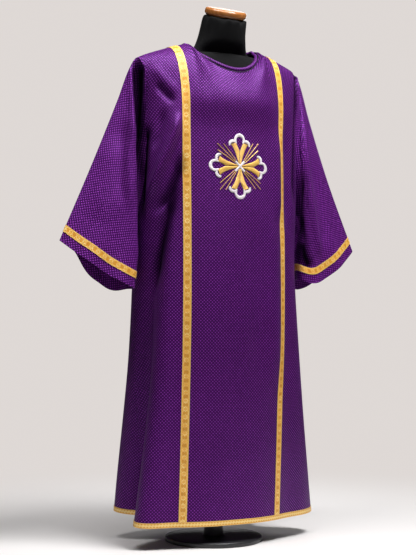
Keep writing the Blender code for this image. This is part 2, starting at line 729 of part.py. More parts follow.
cloth = [surface_tree(front), surface_tree(back[:, ::-1])]
loft("form", np.array([under_cloth(form_ring(row), cloth) for row in form_rows()]), BLACK)

cap = turned("neck_cap", rounded_disc(CAP_RADIUS, CAP_THICKNESS, CAP_ROUNDING, 3), WOOD, 28)
top = form_rows()[-1]
tilt = math.radians(CAP_LEAN)
cap.rotation_euler = (tilt, 0, 0)
cap.location = (0, SHOULDER_Y + top.y - math.sin(tilt) * GAP, top.height + math.cos(tilt) * GAP)

pole_top = FORM[0].height - GAP
pole_low = BASE_THICKNESS + GAP
bpy.ops.mesh.primitive_cylinder_add(vertices=24, radius=POLE_RADIUS, depth=pole_top - pole_low,
                                    location=(0, 0, (pole_top + pole_low) / 2))
pole = bpy.context.object
pole.name = "stand_pole"
pole.data.materials.append(material("stand_pole", STEEL))
for holder in list(pole.users_collection):
    holder.objects.unlink(pole)
collection.objects.link(pole)
smooth(pole.data)

turned("stand_base", rounded_disc(BASE_RADIUS, BASE_THICKNESS, BASE_ROUNDING, 2), STEEL, 36)
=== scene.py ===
# A dalmatic on a limbless dress form: the looks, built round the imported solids.
# Metres, +Z up, the front of the garment towards -Y and the wearer's right at -X.

import math
from collections import namedtuple

import bmesh
import bpy
import numpy as np
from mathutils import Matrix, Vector


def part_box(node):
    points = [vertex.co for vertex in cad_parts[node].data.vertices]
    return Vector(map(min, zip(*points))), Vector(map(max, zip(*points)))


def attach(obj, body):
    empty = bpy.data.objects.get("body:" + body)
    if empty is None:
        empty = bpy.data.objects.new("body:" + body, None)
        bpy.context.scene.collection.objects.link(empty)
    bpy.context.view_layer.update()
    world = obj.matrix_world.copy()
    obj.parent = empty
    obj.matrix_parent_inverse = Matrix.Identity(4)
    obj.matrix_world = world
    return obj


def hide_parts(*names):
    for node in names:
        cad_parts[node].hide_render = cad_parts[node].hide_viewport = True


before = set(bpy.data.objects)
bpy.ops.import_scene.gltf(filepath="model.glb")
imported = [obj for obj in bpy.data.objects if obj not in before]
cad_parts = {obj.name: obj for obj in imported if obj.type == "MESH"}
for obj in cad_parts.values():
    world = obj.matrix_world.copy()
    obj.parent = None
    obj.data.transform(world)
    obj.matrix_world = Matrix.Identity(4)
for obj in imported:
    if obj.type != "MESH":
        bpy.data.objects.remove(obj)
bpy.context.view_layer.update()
print("solids loaded")


# Node trees, with outputs that can be reckoned with like numbers

class Value:
    # one output of a node
    def __init__(self, node, key=0):
        self.node, self.key = node, key

    def __add__(self, other):
        return calculate("ADD", self, other)

    def __sub__(self, other):
        return calculate("SUBTRACT", self, other)

    def __rsub__(self, other):
        return calculate("SUBTRACT", other, self)

    def __mul__(self, other):
        return calculate("MULTIPLY", self, other)

    def __truediv__(self, other):
        return calculate("DIVIDE", self, other)

    def __abs__(self):
        return calculate("ABSOLUTE", self)


def fill(node, values):
    # join each value to its input, or set the input's own number or colour
    for name, value in values.items():
        if isinstance(value, Value):
            node.id_data.links.new(value.node.outputs[value.key], node.inputs[name])
        else:
            node.inputs[name].default_value = value


def addNode(tree, kind, values=None, output=0, **settings):
    node = tree.nodes.new(kind)
    for name, value in settings.items():
        setattr(node, name, value)
    fill(node, values or {})
    return Value(node, output)


def calculate(operation, *values, kind="ShaderNodeMath"):
    tree = next(value.node.id_data for value in values if isinstance(value, Value))
    return addNode(tree, kind, dict(enumerate(values)), operation=operation)


def split(vector):
    node = addNode(vector.node.id_data, "ShaderNodeSeparateXYZ", {0: vector}).node
    return Value(node, "X"), Value(node, "Y"), Value(node, "Z")


def remap(value, low, high, least=0.0):
    # from the least at one value to 1 at the other, held level beyond them
    return addNode(value.node.id_data, "ShaderNodeMapRange",
                   {"Value": value, "From Min": low, "From Max": high, "To Min": least})


def noise(place, size, **values):
    return addNode(place.node.id_data, "ShaderNodeTexNoise",
                   {"Vector": place, "Scale": size, **values}, "Fac")


def bump(height, distance, strength):
    return addNode(height.node.id_data, "ShaderNodeBump",
                   {"Height": height, "Distance": distance, "Strength": strength})


def blendColours(factor, first, second):
    ends = [end if isinstance(end, Value) else (*end, 1) for end in (first, second)]
    return addNode(factor.node.id_data, "ShaderNodeMix", {0: factor, 6: ends[0], 7: ends[1]}, 2,
                   data_type="RGBA")


def scaleColour(colour, factor):
    # a colour made lighter or darker by a value that changes over the surface
    return addNode(factor.node.id_data, "ShaderNodeVectorMath", {0: colour, "Scale": factor},
                   operation="SCALE")


def newPaint(name):
    paint = bpy.data.materials.new(name)
    paint.use_nodes = True
    return paint, paint.node_tree, paint.node_tree.nodes["Principled BSDF"]


def newGroup(name, inputs, outputs, kind="Shader"):
    # inputs are (label, kind) or (label, kind, value), and outputs are (label, kind)
    tree = bpy.data.node_groups.new(name, kind + "NodeTree")
    for ends, way in ((inputs, "INPUT"), (outputs, "OUTPUT")):
        for label, sort, *value in ends:
            socket = tree.interface.new_socket(label, in_out=way, socket_type="NodeSocket" + sort)
            if value:
                socket.default_value = value[0]
    source = tree.nodes.new("NodeGroupInput")
    given = {label: Value(source, label) for label, *_ in inputs}
    return tree, given, tree.nodes.new("NodeGroupOutput")


# Meshes and objects

def newMesh(name, points, faces, edges=()):
    mesh = bpy.data.meshes.new(name)
    mesh.from_pydata(np.reshape(points, (-1, 3)).tolist(), list(edges), faces)
    return mesh


def addObject(name, data):
    made = bpy.data.objects.new(name, data)
    bpy.context.scene.collection.objects.link(made)
    return made


# Camera, light and floor

studio = {
    "lensMm": 76.54,
    "azimuth": -27.0,          # degrees, towards the wearer's right
    "eyeHeight": 0.58,
    "distance": 3.25,
    "aside": 0.0289,
    "aimY": -0.03,
    "shiftUp": 0.0964,
    "wallColour": (0.735, 0.690, 0.668),
    "ambience": 0.06,
    "floorColour": (0.88, 0.855, 0.845),
    "floorFade": (0.6, 1.9),     # metres from the stand, where the floor turns into wall
    "floorReach": 40.0,
}


def makeCamera(values):
    azimuth = math.radians(values["azimuth"])
    right = Vector((math.cos(azimuth), math.sin(azimuth), 0))
    ahead = Vector((-math.sin(azimuth), math.cos(azimuth), 0))
    data = bpy.data.cameras.new("view")
    data.lens = values["lensMm"]
    data.sensor_width = 36
    data.shift_y = values["shiftUp"]
    camera = addObject("view", data)
    aim = Vector((0, values["aimY"], values["eyeHeight"]))
    camera.location = aim - ahead * values["distance"] - right * values["aside"]
    camera.rotation_euler = (math.pi / 2, 0, azimuth)
    bpy.context.scene.camera = camera


def makeLamp(name, place, aim, size, watts):
    data = bpy.data.lights.new(name, "AREA")
    data.shape = "RECTANGLE"
    data.size, data.size_y = size
    data.energy = watts
    lamp = addObject(name, data)
    lamp.location = place
    lamp.rotation_euler = (Vector(aim) - Vector(place)).to_track_quat("-Z", "Y").to_euler()


def seenLight(tree, unseen):
    # full strength for the camera and a dimmer one for the cloth
    seen = addNode(tree, "ShaderNodeLightPath", output="Is Camera Ray")
    return addNode(tree, "ShaderNodeMapRange", {"Value": seen, "To Min": unseen})


def makeRoom(values):
    # the camera sees a plain pale wall, which the floor fades into
    world = bpy.data.worlds.new("room")
    world.use_nodes = True
    glow = {"Color": (*values["wallColour"], 1)}
    sky = world.node_tree.nodes["Background"]
    fill(sky, {**glow, "Strength": seenLight(world.node_tree, values["ambience"])})
    bpy.context.scene.world = world
    bpy.context.scene.view_settings.view_transform = "Standard"
    far = values["floorReach"]
    corners = [(-far, -far, 0), (far, -far, 0), (far, far, 0), (-far, far, 0)]
    floor = addObject("floor", newMesh("floor", corners, [(0, 1, 2, 3)]))
    paint, tree, shader = newPaint("floorPaint")
    fill(shader, {"Base Color": (*values["floorColour"], 1), "Roughness": 0.8})
    wall = addNode(tree, "ShaderNodeEmission",
                   {**glow, "Strength": seenLight(tree, values["ambience"])})
    place = addNode(tree, "ShaderNodeTexCoord", output="Object")
    away = addNode(tree, "ShaderNodeVectorMath", {0: place}, "Value", operation="LENGTH")
    near, gone = values["floorFade"]
    fade = addNode(tree, "ShaderNodeMapRange",
                   {"Value": away, "From Min": near, "From Max": gone},
                   interpolation_type="SMOOTHSTEP")
    both = addNode(tree, "ShaderNodeMixShader", {0: fade, 1: Value(shader), 2: wall})
    fill(tree.nodes["Material Output"], {"Surface": both})
    floor.data.materials.append(paint)


makeCamera(studio)
makeRoom(studio)
makeLamp("keyLight", (0.45, -1.2, 3.1), (0, -0.1, 1.1), (1.0, 1.0), 98)
makeLamp("fillLight", (-0.6, -3.2, 1.3), (0, 0, 0.8), (1.2, 1.4), 4)
makeLamp("topLight", (-0.8, -0.45, 3.0), (-0.2, 0, 1.2), (1.1, 1.0), 36)
makeLamp("backLight", (1.6, 3.0, 1.9), (0, 0, 0.8), (2.0, 1.8), 30)
print("camera and lights made")


# Small helpers

def ease(share):
    share = np.clip(share, 0, 1)
    return share * share * (3 - 2 * share)


def unit(vectors):
    return vectors / np.linalg.norm(vectors, axis=-1, keepdims=True)


def hermite(start, end, leave, arrive, t):
    return ((1 + 2 * t) * (1 - t) ** 2 * start + t * (1 - t) ** 2 * leave
            + t * t * (3 - 2 * t) * end + t * t * (t - 1) * arrive)


def readSmoothly(rows, key, value):
    table = np.array(rows, float)
    keys = table[:, rows[0]._fields.index(key)]
    slopes = np.gradient(table, keys, axis=0)
    i = int(np.clip(np.searchsorted(keys, value) - 1, 0, len(keys) - 2))
    step = keys[i + 1] - keys[i]
    t = (value - keys[i]) / step
    row = hermite(table[i], table[i + 1], slopes[i] * step, slopes[i + 1] * step, t)
    return type(rows[0])(*row)


def gridNormals(grid, closed=False):
    if closed:
        wrapped = np.concatenate([grid[:, -1:], grid, grid[:, :1]], axis=1)
        across = (wrapped[:, 2:] - wrapped[:, :-2]) / 2
    else:
        across = np.gradient(grid, axis=1)
    up = np.gradient(grid, axis=0)
    return unit(np.cross(across, up))


def bothHalves(half, flip=-1):
    # a half measured from the centre line, with its mirror image before it
    return np.concatenate([half[:0:-1] * flip, half])


def closeRound(grid):
    return np.concatenate([grid, grid[:, :1]], axis=1)


def evened(points, axis):
    # each point drawn half-way to its neighbours on a closed line
    return (np.roll(points, 1, axis=axis) + 2 * points + np.roll(points, -1, axis=axis)) / 4


def reach(points, axis=0):
    # distance along a line, or along each row or column of a grid, from its first point
    steps = np.linalg.norm(np.diff(points, axis=axis), axis=-1)
    zeros = np.zeros_like(np.take(steps, [0], axis=axis))
    return np.cumsum(np.concatenate([zeros, steps], axis=axis), axis=axis)


flatCutting = {"passes": 260, "rows": 70, "columns": 44, "haste": 1.4}


def flatten(grid, across, along):
    # the flat cut of a curved sheet: spread points eased until they lie as far apart as on it
    limits = flatCutting["rows"], flatCutting["columns"]
    pick = [np.unique(np.linspace(0, n - 1, min(n, limit)).astype(int))
            for n, limit in zip(grid.shape[:2], limits)]
    mesh = np.ix_(*pick)
    solid, flat = grid[mesh], np.stack([across[mesh], along[mesh]], axis=-1)
    allOf, first, last = slice(None), slice(None, -1), slice(1, None)
    pairs = [((first, allOf), (last, allOf)), ((allOf, first), (allOf, last)),
             ((first, first), (last, last)), ((first, last), (last, first))]
    lengths = [np.linalg.norm(solid[b] - solid[a], axis=-1) for a, b in pairs]
    count = np.zeros(flat.shape[:2])
    for a, b in pairs:
        count[a] += 1
        count[b] += 1
    for _ in range(flatCutting["passes"]):
        move = np.zeros_like(flat)
        for (a, b), length in zip(pairs, lengths):
            apart = flat[b] - flat[a]
            now = np.linalg.norm(apart, axis=-1)
            pull = apart * (0.5 * (1 - length / np.maximum(now, 1e-6)))[..., None]
            move[a] += pull
            move[b] -= pull
        flat += flatCutting["haste"] * move / count[..., None]
    upward, sideways = reach(grid, 0).mean(axis=1), reach(grid, 1).mean(axis=0)
    tall = [np.stack([np.interp(upward, upward[pick[0]], line) for line in part.T], axis=1)
            for part in (flat[..., 0], flat[..., 1])]
    return [np.stack([np.interp(sideways, sideways[pick[1]], line) for line in part])
            for part in tall]


# The cloth's shape, from the same sections and folds as the solids

cloth = {
    "wall": 0.0015,
    "gap": 0.0003,
    "shoulderY": -0.030,
    "hem": 0.060,
    "armpit": 0.900,
    "chest": 1.170,
    "hemLift": 0.020,
    "armholeHalf": 0.030,
    "backRoundness": 2.1,
    "shoulderFullness": 1.15,
    "fluteGrowth": 1.4,
    "fluteTop": 0.55,           # share of its width that a flute has where it starts
    "seamColumn": 0.006,
    "neckCells": 22,
    "besideNeckCells": 5,
    "bandCells": 4,
    "sideCells": 46,
    "hemRows": 4,
    "skirtRows": 150,
    "armholeRows": 35,
    "shoulderRows": 56,
    "sleeveRows": 110,
    "cuffRows": 4,
    "openingRows": 6,           # from the cuff braid to the edge
}
hanging = {
    "grain": 7.8,               # degrees
    "fullness": 0.7,
    "flatness": 8,              # the higher, the nearer the inner edge a layer turns in
    "sagFrom": 0.28,            # shares of a layer, from its outer edge
    "sagOver": 0.30,
    "liftUntil": 0.45,
    "evenUntil": 0.30,          # share of the sleeve where columns leave the armhole's spacing
    "leaveOut": 0.3,
    "leaveDown": -0.6,
    "easing": 14,
    "easeFrom": 0.35,
    "easeOver": 0.4,
    "hangInward": 0.010,        # how far the front's inner edge swings in and forward
    "hangForward": 0.012,
    "hangPlace": 0.05,          # share of the front layer, from its inner edge
    "hangWidth": 0.14,
    "hangFrom": 0.15,           # share of the sleeve
    "hangOver": 0.5,
}
neck = {
    "halfWidth": 0.1085,
    "height": 1.358,
    "frontDepth": 0.104,
    "frontDrop": 0.083,
    "backDepth": 0.060,
    "backDrop": 0.010,
    "rollRadius": 0.0050,
}
band = {"centre": 0.147, "width": 0.0215, "thickness": 0.0010}
hemBraid = {"width": 0.014}
cuffBraid = {"width": 0.019, "up": 0.026}

Section = namedtuple("Section", "height halfWidth front back side roundness")
bodySections = [
    Section(0.060, 0.240, -0.094, 0.290, 0.105, 2.50),
    Section(0.350, 0.234, -0.112, 0.240, 0.075, 2.40),
    Section(0.650, 0.234, -0.125, 0.190, 0.040, 2.25),
    Section(0.900, 0.2385, -0.124, 0.150, 0.010, 2.05),
    Section(1.170, 0.2385, -0.119, 0.125, 0.000, 1.90),
]

Fold = namedtuple("Fold", "centre kind top end topPlace endPlace depth width")
folds = [
    Fold("front", "flute", 1.02, 0.060, -0.175, -0.245, 0.046, 0.050),
    Fold("front", "flute", 1.00, 0.060, -0.215, -0.345, -0.085, 0.050),
    Fold("front", "flute", 0.85, 0.060, 0.200, 0.300, 0.080, 0.070),
    Fold("front", "flute", 0.80, 0.060, 0.260, 0.410, -0.030, 0.050),
    Fold("front", "crease", 1.22, 0.86, -0.150, -0.275, 0.013, 0.020),
    Fold("front", "crease", 1.10, 0.40, 0.030, 0.060, 0.006, 0.040),
    Fold("back", "flute", 0.95, 0.060, -0.150, -0.260, 0.016, 0.050),
    Fold("back", "flute", 0.95, 0.060, 0.150, 0.250, 0.036, 0.050),
    Fold("back", "flute", 0.95, 0.060, 0.020, 0.030, 0.026, 0.048),
    Fold("back", "flute", 0.90, 0.060, -0.060, -0.115, -0.020, 0.040),
    Fold("back", "flute", 0.90, 0.060, 0.075, 0.140, -0.022, 0.040),
]

Crest = namedtuple("Crest", "x height")
shoulderLine = [
    Crest(0.1085, 1.3580),
    Crest(0.1470, 1.3455),
    Crest(0.2000, 1.3270),
    Crest(0.2300, 1.3150),
    Crest(0.2430, 1.3085),
]

Ring = namedtuple("Ring", "along outX outY outZ inX inY inZ front back frontSag backSag")
sleeveRings = [
    Ring(0.04, 0.2530, 0.000, 1.3005, 0.2425, 0.006, 0.890, 0.038, 0.036, 0.000, 0.000),
    Ring(0.10, 0.2640, 0.003, 1.2800, 0.2480, 0.008, 0.872, 0.050, 0.046, 0.000, 0.000),
    Ring(0.30, 0.2970, 0.010, 1.1900, 0.2520, 0.012, 0.830, 0.056, 0.058, 0.000, 0.002),
    Ring(0.60, 0.3610, 0.018, 1.0300, 0.2560, 0.016, 0.768, 0.058, 0.068, 0.004, 0.010),
    Ring(1.00, 0.4550, 0.020, 0.8150, 0.2640, 0.018, 0.692, 0.060, 0.075, 0.010, 0.024),
]
underarmRise = {-1: 0.000, 1: 0.036}

SleeveFold = namedtuple("SleeveFold", "layer placeTop placeEnd depth width")
sleeveFolds = [
    SleeveFold("front", 0.45, 0.35, 0.007, 0.10),
    SleeveFold("front", 0.75, 0.62, -0.008, 0.09),
    SleeveFold("back", 0.50, 0.40, 0.008, 0.12),
    SleeveFold("back", 0.78, 0.68, -0.009, 0.10),
]

# Finer creases: each is a line of (place along the cloth, height) points, how far it
# stands out, its width, its painted shade, which dims the colour where the crease lies in shadow
# (a negative one is a painted highlight that brightens a crest), and the share that fades at each
# end.
Crease = namedtuple("Crease", "line depth width shade fadeIn fadeOut", defaults=(0, 0.3, 0.3))
softCreases = {
    "front": [
        # painted highlight along this ridge
        Crease([(-0.162, 1.160), (-0.176, 1.102), (-0.189, 1.066), (-0.223, 0.982),
                (-0.248, 0.927)], 0.020, 0.011, -0.5, 0.2, 0.2),
        # painted shade in these two troughs
        Crease([(-0.166, 1.055), (-0.171, 1.000), (-0.196, 0.940),
                (-0.242, 0.880)], -0.017, 0.014, 0.6),
        Crease([(-0.171, 0.975), (-0.207, 0.872), (-0.230, 0.768),
                (-0.253, 0.664)], -0.021, 0.018, 0.8),
        Crease([(-0.196, 0.911), (-0.227, 0.834), (-0.250, 0.763)], 0.005, 0.010, -0.3),
        # painted highlight only, with no fold under it
        Crease([(-0.168, 1.135), (-0.180, 1.095), (-0.198, 1.030),
                (-0.234, 0.945)], 0.000, 0.017, -0.9),
        # painted shade in the crevices beside both armholes
        Crease([(-0.248, 1.130), (-0.262, 1.090), (-0.268, 1.030), (-0.274, 0.960),
                (-0.276, 0.860)], -0.012, 0.012, 1.0, 0.15),
        Crease([(0.252, 1.330), (0.243, 1.254), (0.240, 1.198), (0.233, 1.140), (0.228, 1.060),
                (0.223, 0.990), (0.226, 0.900)], -0.011, 0.011, 0.95, 0.1),
        Crease([(-0.232, 1.236), (-0.205, 1.205), (-0.172, 1.175)], -0.007, 0.010),
        Crease([(-0.206, 1.170), (-0.219, 1.100), (-0.240, 1.050)], -0.007, 0.012),
        Crease([(-0.238, 1.286), (-0.207, 1.244), (-0.163, 1.200)], 0.004, 0.015),
        Crease([(-0.150, 1.182), (-0.069, 1.190), (0.030, 1.190),
                (0.150, 1.188)], 0.011, 0.047, 0, 0.2, 0.2),
        Crease([(0.125, 1.140), (0.128, 1.000), (0.130, 0.860)], 0.008, 0.022),
        Crease([(0.178, 1.190), (0.180, 1.020), (0.178, 0.830)], -0.012, 0.022),
        Crease([(0.090, 0.960), (0.108, 0.800), (0.116, 0.600), (0.125, 0.380)], 0.010, 0.028),
        Crease([(0.030, 0.940), (0.045, 0.760), (0.052, 0.560), (0.062, 0.380)], -0.005, 0.030),
    ],
    "back": [
        Crease([(-0.205, 1.180), (-0.190, 1.080), (-0.140, 0.960), (-0.115, 0.840)], 0.008, 0.014),
        Crease([(-0.225, 1.090), (-0.200, 0.990), (-0.175, 0.880)], -0.010, 0.015),
        Crease([(0.200, 1.190), (0.205, 1.070), (0.170, 0.950), (0.150, 0.820)], 0.009, 0.013),
        Crease([(0.228, 1.070), (0.214, 0.960), (0.190, 0.860)], -0.011, 0.015),
        Crease([(-0.070, 1.240), (0.010, 1.225), (0.080, 1.245)], -0.004, 0.022),
        Crease([(-0.030, 0.980), (-0.020, 0.820), (-0.040, 0.640)], -0.006, 0.022),
        Crease([(0.060, 0.900), (0.075, 0.720), (0.070, 0.560)], 0.006, 0.020),
    ],
}

# On a sleeve they are lines of (distance from the middle, height) points.
sleeveCreases = {
    ("right", "front"): [
        # painted shade in the crevice beside the armhole
        Crease([(0.246, 1.300), (0.249, 1.243), (0.248, 1.189), (0.248, 1.135), (0.245, 1.087),
                (0.246, 1.031), (0.248, 0.940), (0.250, 0.850)], -0.016, 0.010, 1.0, 0.08, 0.4),
        # painted shade only, with no fold under it
        Crease([(0.246, 1.215), (0.243, 1.150), (0.241, 1.087), (0.240, 1.031),
                (0.241, 0.940)], 0.000, 0.014, 0.9, 0.15),
        Crease([(0.260, 1.290), (0.262, 1.230), (0.262, 1.190), (0.261, 1.134),
                (0.260, 1.057)], 0.006, 0.009, 0, 0.1),
        Crease([(0.268, 1.188), (0.270, 1.107), (0.278, 1.028), (0.277, 0.949),
                (0.277, 0.882)], 0.005, 0.012),
        Crease([(0.286, 1.148), (0.294, 1.053), (0.300, 0.963), (0.296, 0.899)], -0.006, 0.013),
        Crease([(0.301, 1.106), (0.328, 1.013), (0.347, 0.933), (0.357, 0.852)], 0.006, 0.028),
    ],
    ("right", "back"): [
        Crease([(0.275, 1.150), (0.300, 1.000), (0.340, 0.870)], 0.008, 0.018),
        Crease([(0.262, 1.080), (0.275, 0.950), (0.295, 0.830)], -0.007, 0.015),
    ],
    ("left", "front"): [
        # painted highlight along this crest
        Crease([(0.262, 1.251), (0.261, 1.092), (0.278, 0.946), (0.297, 0.864),
                (0.317, 0.778)], 0.013, 0.014, -0.35, 0.3, 0.12),
        Crease([(0.288, 1.096), (0.317, 0.969), (0.334, 0.884), (0.341, 0.814)], -0.006, 0.017),
        # painted shade in this trough
        Crease([(0.252, 1.050), (0.250, 0.911), (0.259, 0.838),
                (0.271, 0.780)], -0.010, 0.014, 0.8),
        # painted shade: a near-black patch where the sleeve's opening lies in shadow
        Crease([(0.248, 0.850), (0.262, 0.790), (0.283, 0.748)], -0.005, 0.020, 0.97, 0.3, 0.25),
    ],
    ("left", "back"): [
        Crease([(0.270, 1.180), (0.310, 0.990), (0.365, 0.860)], 0.008, 0.020),
        Crease([(0.258, 1.100), (0.280, 0.940), (0.310, 0.830)], -0.008, 0.015),
    ],
}


def halfRing(height):
    body = readSmoothly(bodySections, "height", height)
    angle = np.linspace(0, math.pi, 361)
    ahead = angle <= math.pi / 2
    power = np.where(ahead, 2 / body.roundness, 2 / cloth["backRoundness"])
    far = np.where(ahead, body.front, body.back) - body.side
    x = body.halfWidth * np.sin(angle).clip(0, 1) ** power
    y = body.side + far * np.abs(np.cos(angle)) ** power
    along = np.concatenate([[0], np.cumsum(np.hypot(np.diff(x), np.diff(y)))])
    return x, y, along


def armholeOpening(height):
    share = (height - cloth["armpit"]) / (cloth["chest"] - cloth["armpit"])
    return cloth["armholeHalf"] * math.sqrt(min(max(share, 0), 1))


def acrossPlaces(edge):
    # beyond the neck: to the band, across it, and out to a narrow column at the seam
    inner = band["centre"] - band["width"] / 2
    outer = band["centre"] + band["width"] / 2
    beside = np.linspace(neck["halfWidth"], inner, cloth["besideNeckCells"] + 1)[1:]
    under = np.linspace(inner, outer, cloth["bandCells"] + 1)[1:]
    side = np.linspace(outer, edge - cloth["seamColumn"], cloth["sideCells"])[1:]
    return np.concatenate([beside, under, side, [edge]])


def columnPlaces(height, panel, ring):
    side = ring[2][180] if panel == "front" else ring[2][-1] - ring[2][180]
    edge = side - cloth["gap"] / 2 - armholeOpening(height)
    inside = np.linspace(0, neck["halfWidth"], cloth["neckCells"] + 1)
    return np.concatenate([inside, acrossPlaces(edge)])


def bodyRow(height, panel):
    ring = halfRing(height)
    x, y, along = ring
    places = bothHalves(columnPlaces(height, panel, ring))
    position = np.abs(places) if panel == "front" else along[-1] - np.abs(places)
    points = np.empty((len(places), 3))
    points[:, 0] = np.sign(places) * np.interp(position, along, x)
    points[:, 1] = cloth["shoulderY"] + np.interp(position, along, y)
    points[:, 2] = height
    return points, places, along[-1]


def topRow(panel):
    turn = np.linspace(0, math.pi / 2, cloth["neckCells"] + 1)
    deep = neck["frontDepth"] if panel == "front" else -neck["backDepth"]
    drop = neck["frontDrop"] if panel == "front" else neck["backDrop"]
    hole = np.stack([neck["halfWidth"] * np.sin(turn), -deep * np.cos(turn),
                     neck["height"] - drop * np.cos(turn) ** 1.5], axis=1)
    xs = acrossPlaces(shoulderLine[-1].x)
    crest = np.array([readSmoothly(shoulderLine, "x", x).height for x in xs])
    half = np.concatenate([hole, np.stack([xs, np.zeros(len(xs)), crest], axis=1)])
    half[:, 1] += cloth["shoulderY"] + (-1 if panel == "front" else 1) * cloth["gap"] / 2
    return bothHalves(half, np.array([-1, 1, 1]))


def arrivingDirections(panel):
    ahead = 1 if panel == "front" else -1
    turn = np.linspace(0, math.pi / 2, cloth["neckCells"] + 1)
    lean = 0.30 + 0.70 * np.sin(turn) ** 2
    hole = np.stack([np.zeros(len(turn)), ahead * lean, np.cos(turn) ** 2 + 0.02], axis=1)
    seam = np.tile([0.0, ahead, 0.02], (len(acrossPlaces(1.0)), 1))
    half = unit(np.concatenate([hole, seam]))
    return bothHalves(half, np.array([-1, 1, 1]))


def skirtHeights():
    braidTop = cloth["hem"] + hemBraid["width"]
    braid = np.linspace(cloth["hem"], braidTop, cloth["hemRows"] + 1)
    skirt = np.linspace(braidTop, cloth["armpit"], cloth["skirtRows"] + 1)[1:]
    share = (np.arange(1, cloth["armholeRows"] + 1) / cloth["armholeRows"]) ** 1.3
    high = cloth["armpit"] + (cloth["chest"] - cloth["armpit"]) * share
    return np.concatenate([braid, skirt, high])


def foldPush(heights, places, rings, panel):
    push = np.zeros(places.shape)
    other = np.where(places < 0, -1, 1) * (rings[:, None] - np.abs(places))
    for fold in folds:
        share = np.clip((fold.top - heights) / (fold.top - fold.end), 0, 1)
        place = fold.topPlace + (fold.endPlace - fold.topPlace) * share
        distance = (places if fold.centre == panel else other) - place
        if fold.kind == "flute":
            amount = share ** cloth["fluteGrowth"]
            width = fold.width * (cloth["fluteTop"] + (1 - cloth["fluteTop"]) * share)
        else:
            amount = np.sin(math.pi * share)
            width = fold.width
        push += fold.depth * amount * np.exp(-(distance / width) ** 2)
    return push


# the deepest painted shade is kept, and painted highlights (negative values) are added on
def mergePaintedShade(shade, more):
    return np.maximum(shade, more) + np.minimum(more, 0)


def creasePush(heights, places, creases):
    # soft ridges and troughs along bent lines, fading out at both ends, and how much
    # painted shade dims the deepest, or painted highlight brightens a crest
    push, shade = np.zeros(places.shape), np.zeros(places.shape)
    here = np.stack([places, heights], axis=-1)
    for crease in creases:
        line = np.array(crease.line)
        steps = np.linalg.norm(np.diff(line, axis=0), axis=1)
        starts = np.concatenate([[0], np.cumsum(steps)])
        nearest = np.full(places.shape, np.inf)
        along = np.zeros(places.shape)
        for k, step in enumerate(steps):
            run = (line[k + 1] - line[k]) / step
            share = np.clip((here - line[k]) @ run, 0, step)
            gap = np.linalg.norm(here - line[k] - share[..., None] * run, axis=-1)
            closer = gap < nearest
            nearest = np.where(closer, gap, nearest)
            along = np.where(closer, (starts[k] + share) / starts[-1], along)
        fade = ease(along / crease.fadeIn) * ease((1 - along) / crease.fadeOut)
        form = fade * np.exp(-(nearest / crease.width) ** 2)
        push += crease.depth * form
        shade = mergePaintedShade(shade, crease.shade * form)
    return push, shade


def laySeamFlat(edgeA, innerA, edgeB, innerB):
    across = unit(unit(edgeA - innerA) + unit(innerB - edgeB))
    reachA = np.linalg.norm(edgeA - innerA, axis=1, keepdims=True)
    reachB = np.linalg.norm(edgeB - innerB, axis=1, keepdims=True)
    middle = (edgeA + edgeB) / 2
    edgeA[:] = middle - across * cloth["gap"] / 2
    edgeB[:] = middle + across * cloth["gap"] / 2
    innerA[:] = edgeA - across * reachA
    innerB[:] = edgeB + across * reachB


def makePanels():
    heights = skirtHeights()
    belowArm = len(heights) - cloth["armholeRows"]
    shoulder = np.linspace(0, 1, cloth["shoulderRows"] + 1)[1:]
    grids, extra, shades = {}, {}, {}
    for panel in ("front", "back"):
        rows, places, rings = [list(part) for part in
                               zip(*[bodyRow(height, panel) for height in heights])]
        chestRow, top, step = rows[-1], topRow(panel), 0.01
        climb = (chestRow - bodyRow(cloth["chest"] - step, panel)[0]) / step
        span = np.linalg.norm(top - chestRow, axis=1, keepdims=True)
        arrive = arrivingDirections(panel) * span * cloth["shoulderFullness"]
        rows += [hermite(chestRow, top, climb * span, arrive, share) for share in shoulder]
        places += places[-1:] * len(shoulder)
        rings += rings[-1:] * len(shoulder)
        grids[panel] = np.array(rows)
        extra[panel] = (np.array(places), np.array(rings))
    outward = {"front": gridNormals(grids["front"]), "back": -gridNormals(grids["back"])}
    for edge in (0, -1):
        shared = unit(outward["front"][:belowArm, edge] + outward["back"][:belowArm, edge])
        outward["front"][:belowArm, edge] = shared
        outward["back"][:belowArm, edge] = shared
    behindAll = bodySections[0].back + cloth["shoulderY"]
    aheadAll = bodySections[0].front + cloth["shoulderY"]
    for panel, grid in grids.items():
        places, rings = extra[panel]
        push = foldPush(grid[:, :, 2], places, rings, panel)
        # with each crease's painted shade and painted highlight
        more, shades[panel] = creasePush(grid[:, :, 2], places, softCreases[panel])
        push += more
        grid += outward[panel] * push[:, :, None]
        behind = ease((grid[:, :, 1] - aheadAll) / (behindAll - aheadAll))
        rise = (grid[:, :, 2] - cloth["hem"]) / (cloth["armpit"] - cloth["hem"])
        grid[:, :, 2] += cloth["hemLift"] * behind * np.clip(1 - rise / 0.5, 0, 1)
    front, back = grids["front"], grids["back"]
    for edge, before in ((0, 1), (-1, -2)):
        laySeamFlat(front[:belowArm, edge], front[:belowArm, before],
                    back[:belowArm, edge], back[:belowArm, before])
    return front, back, shades


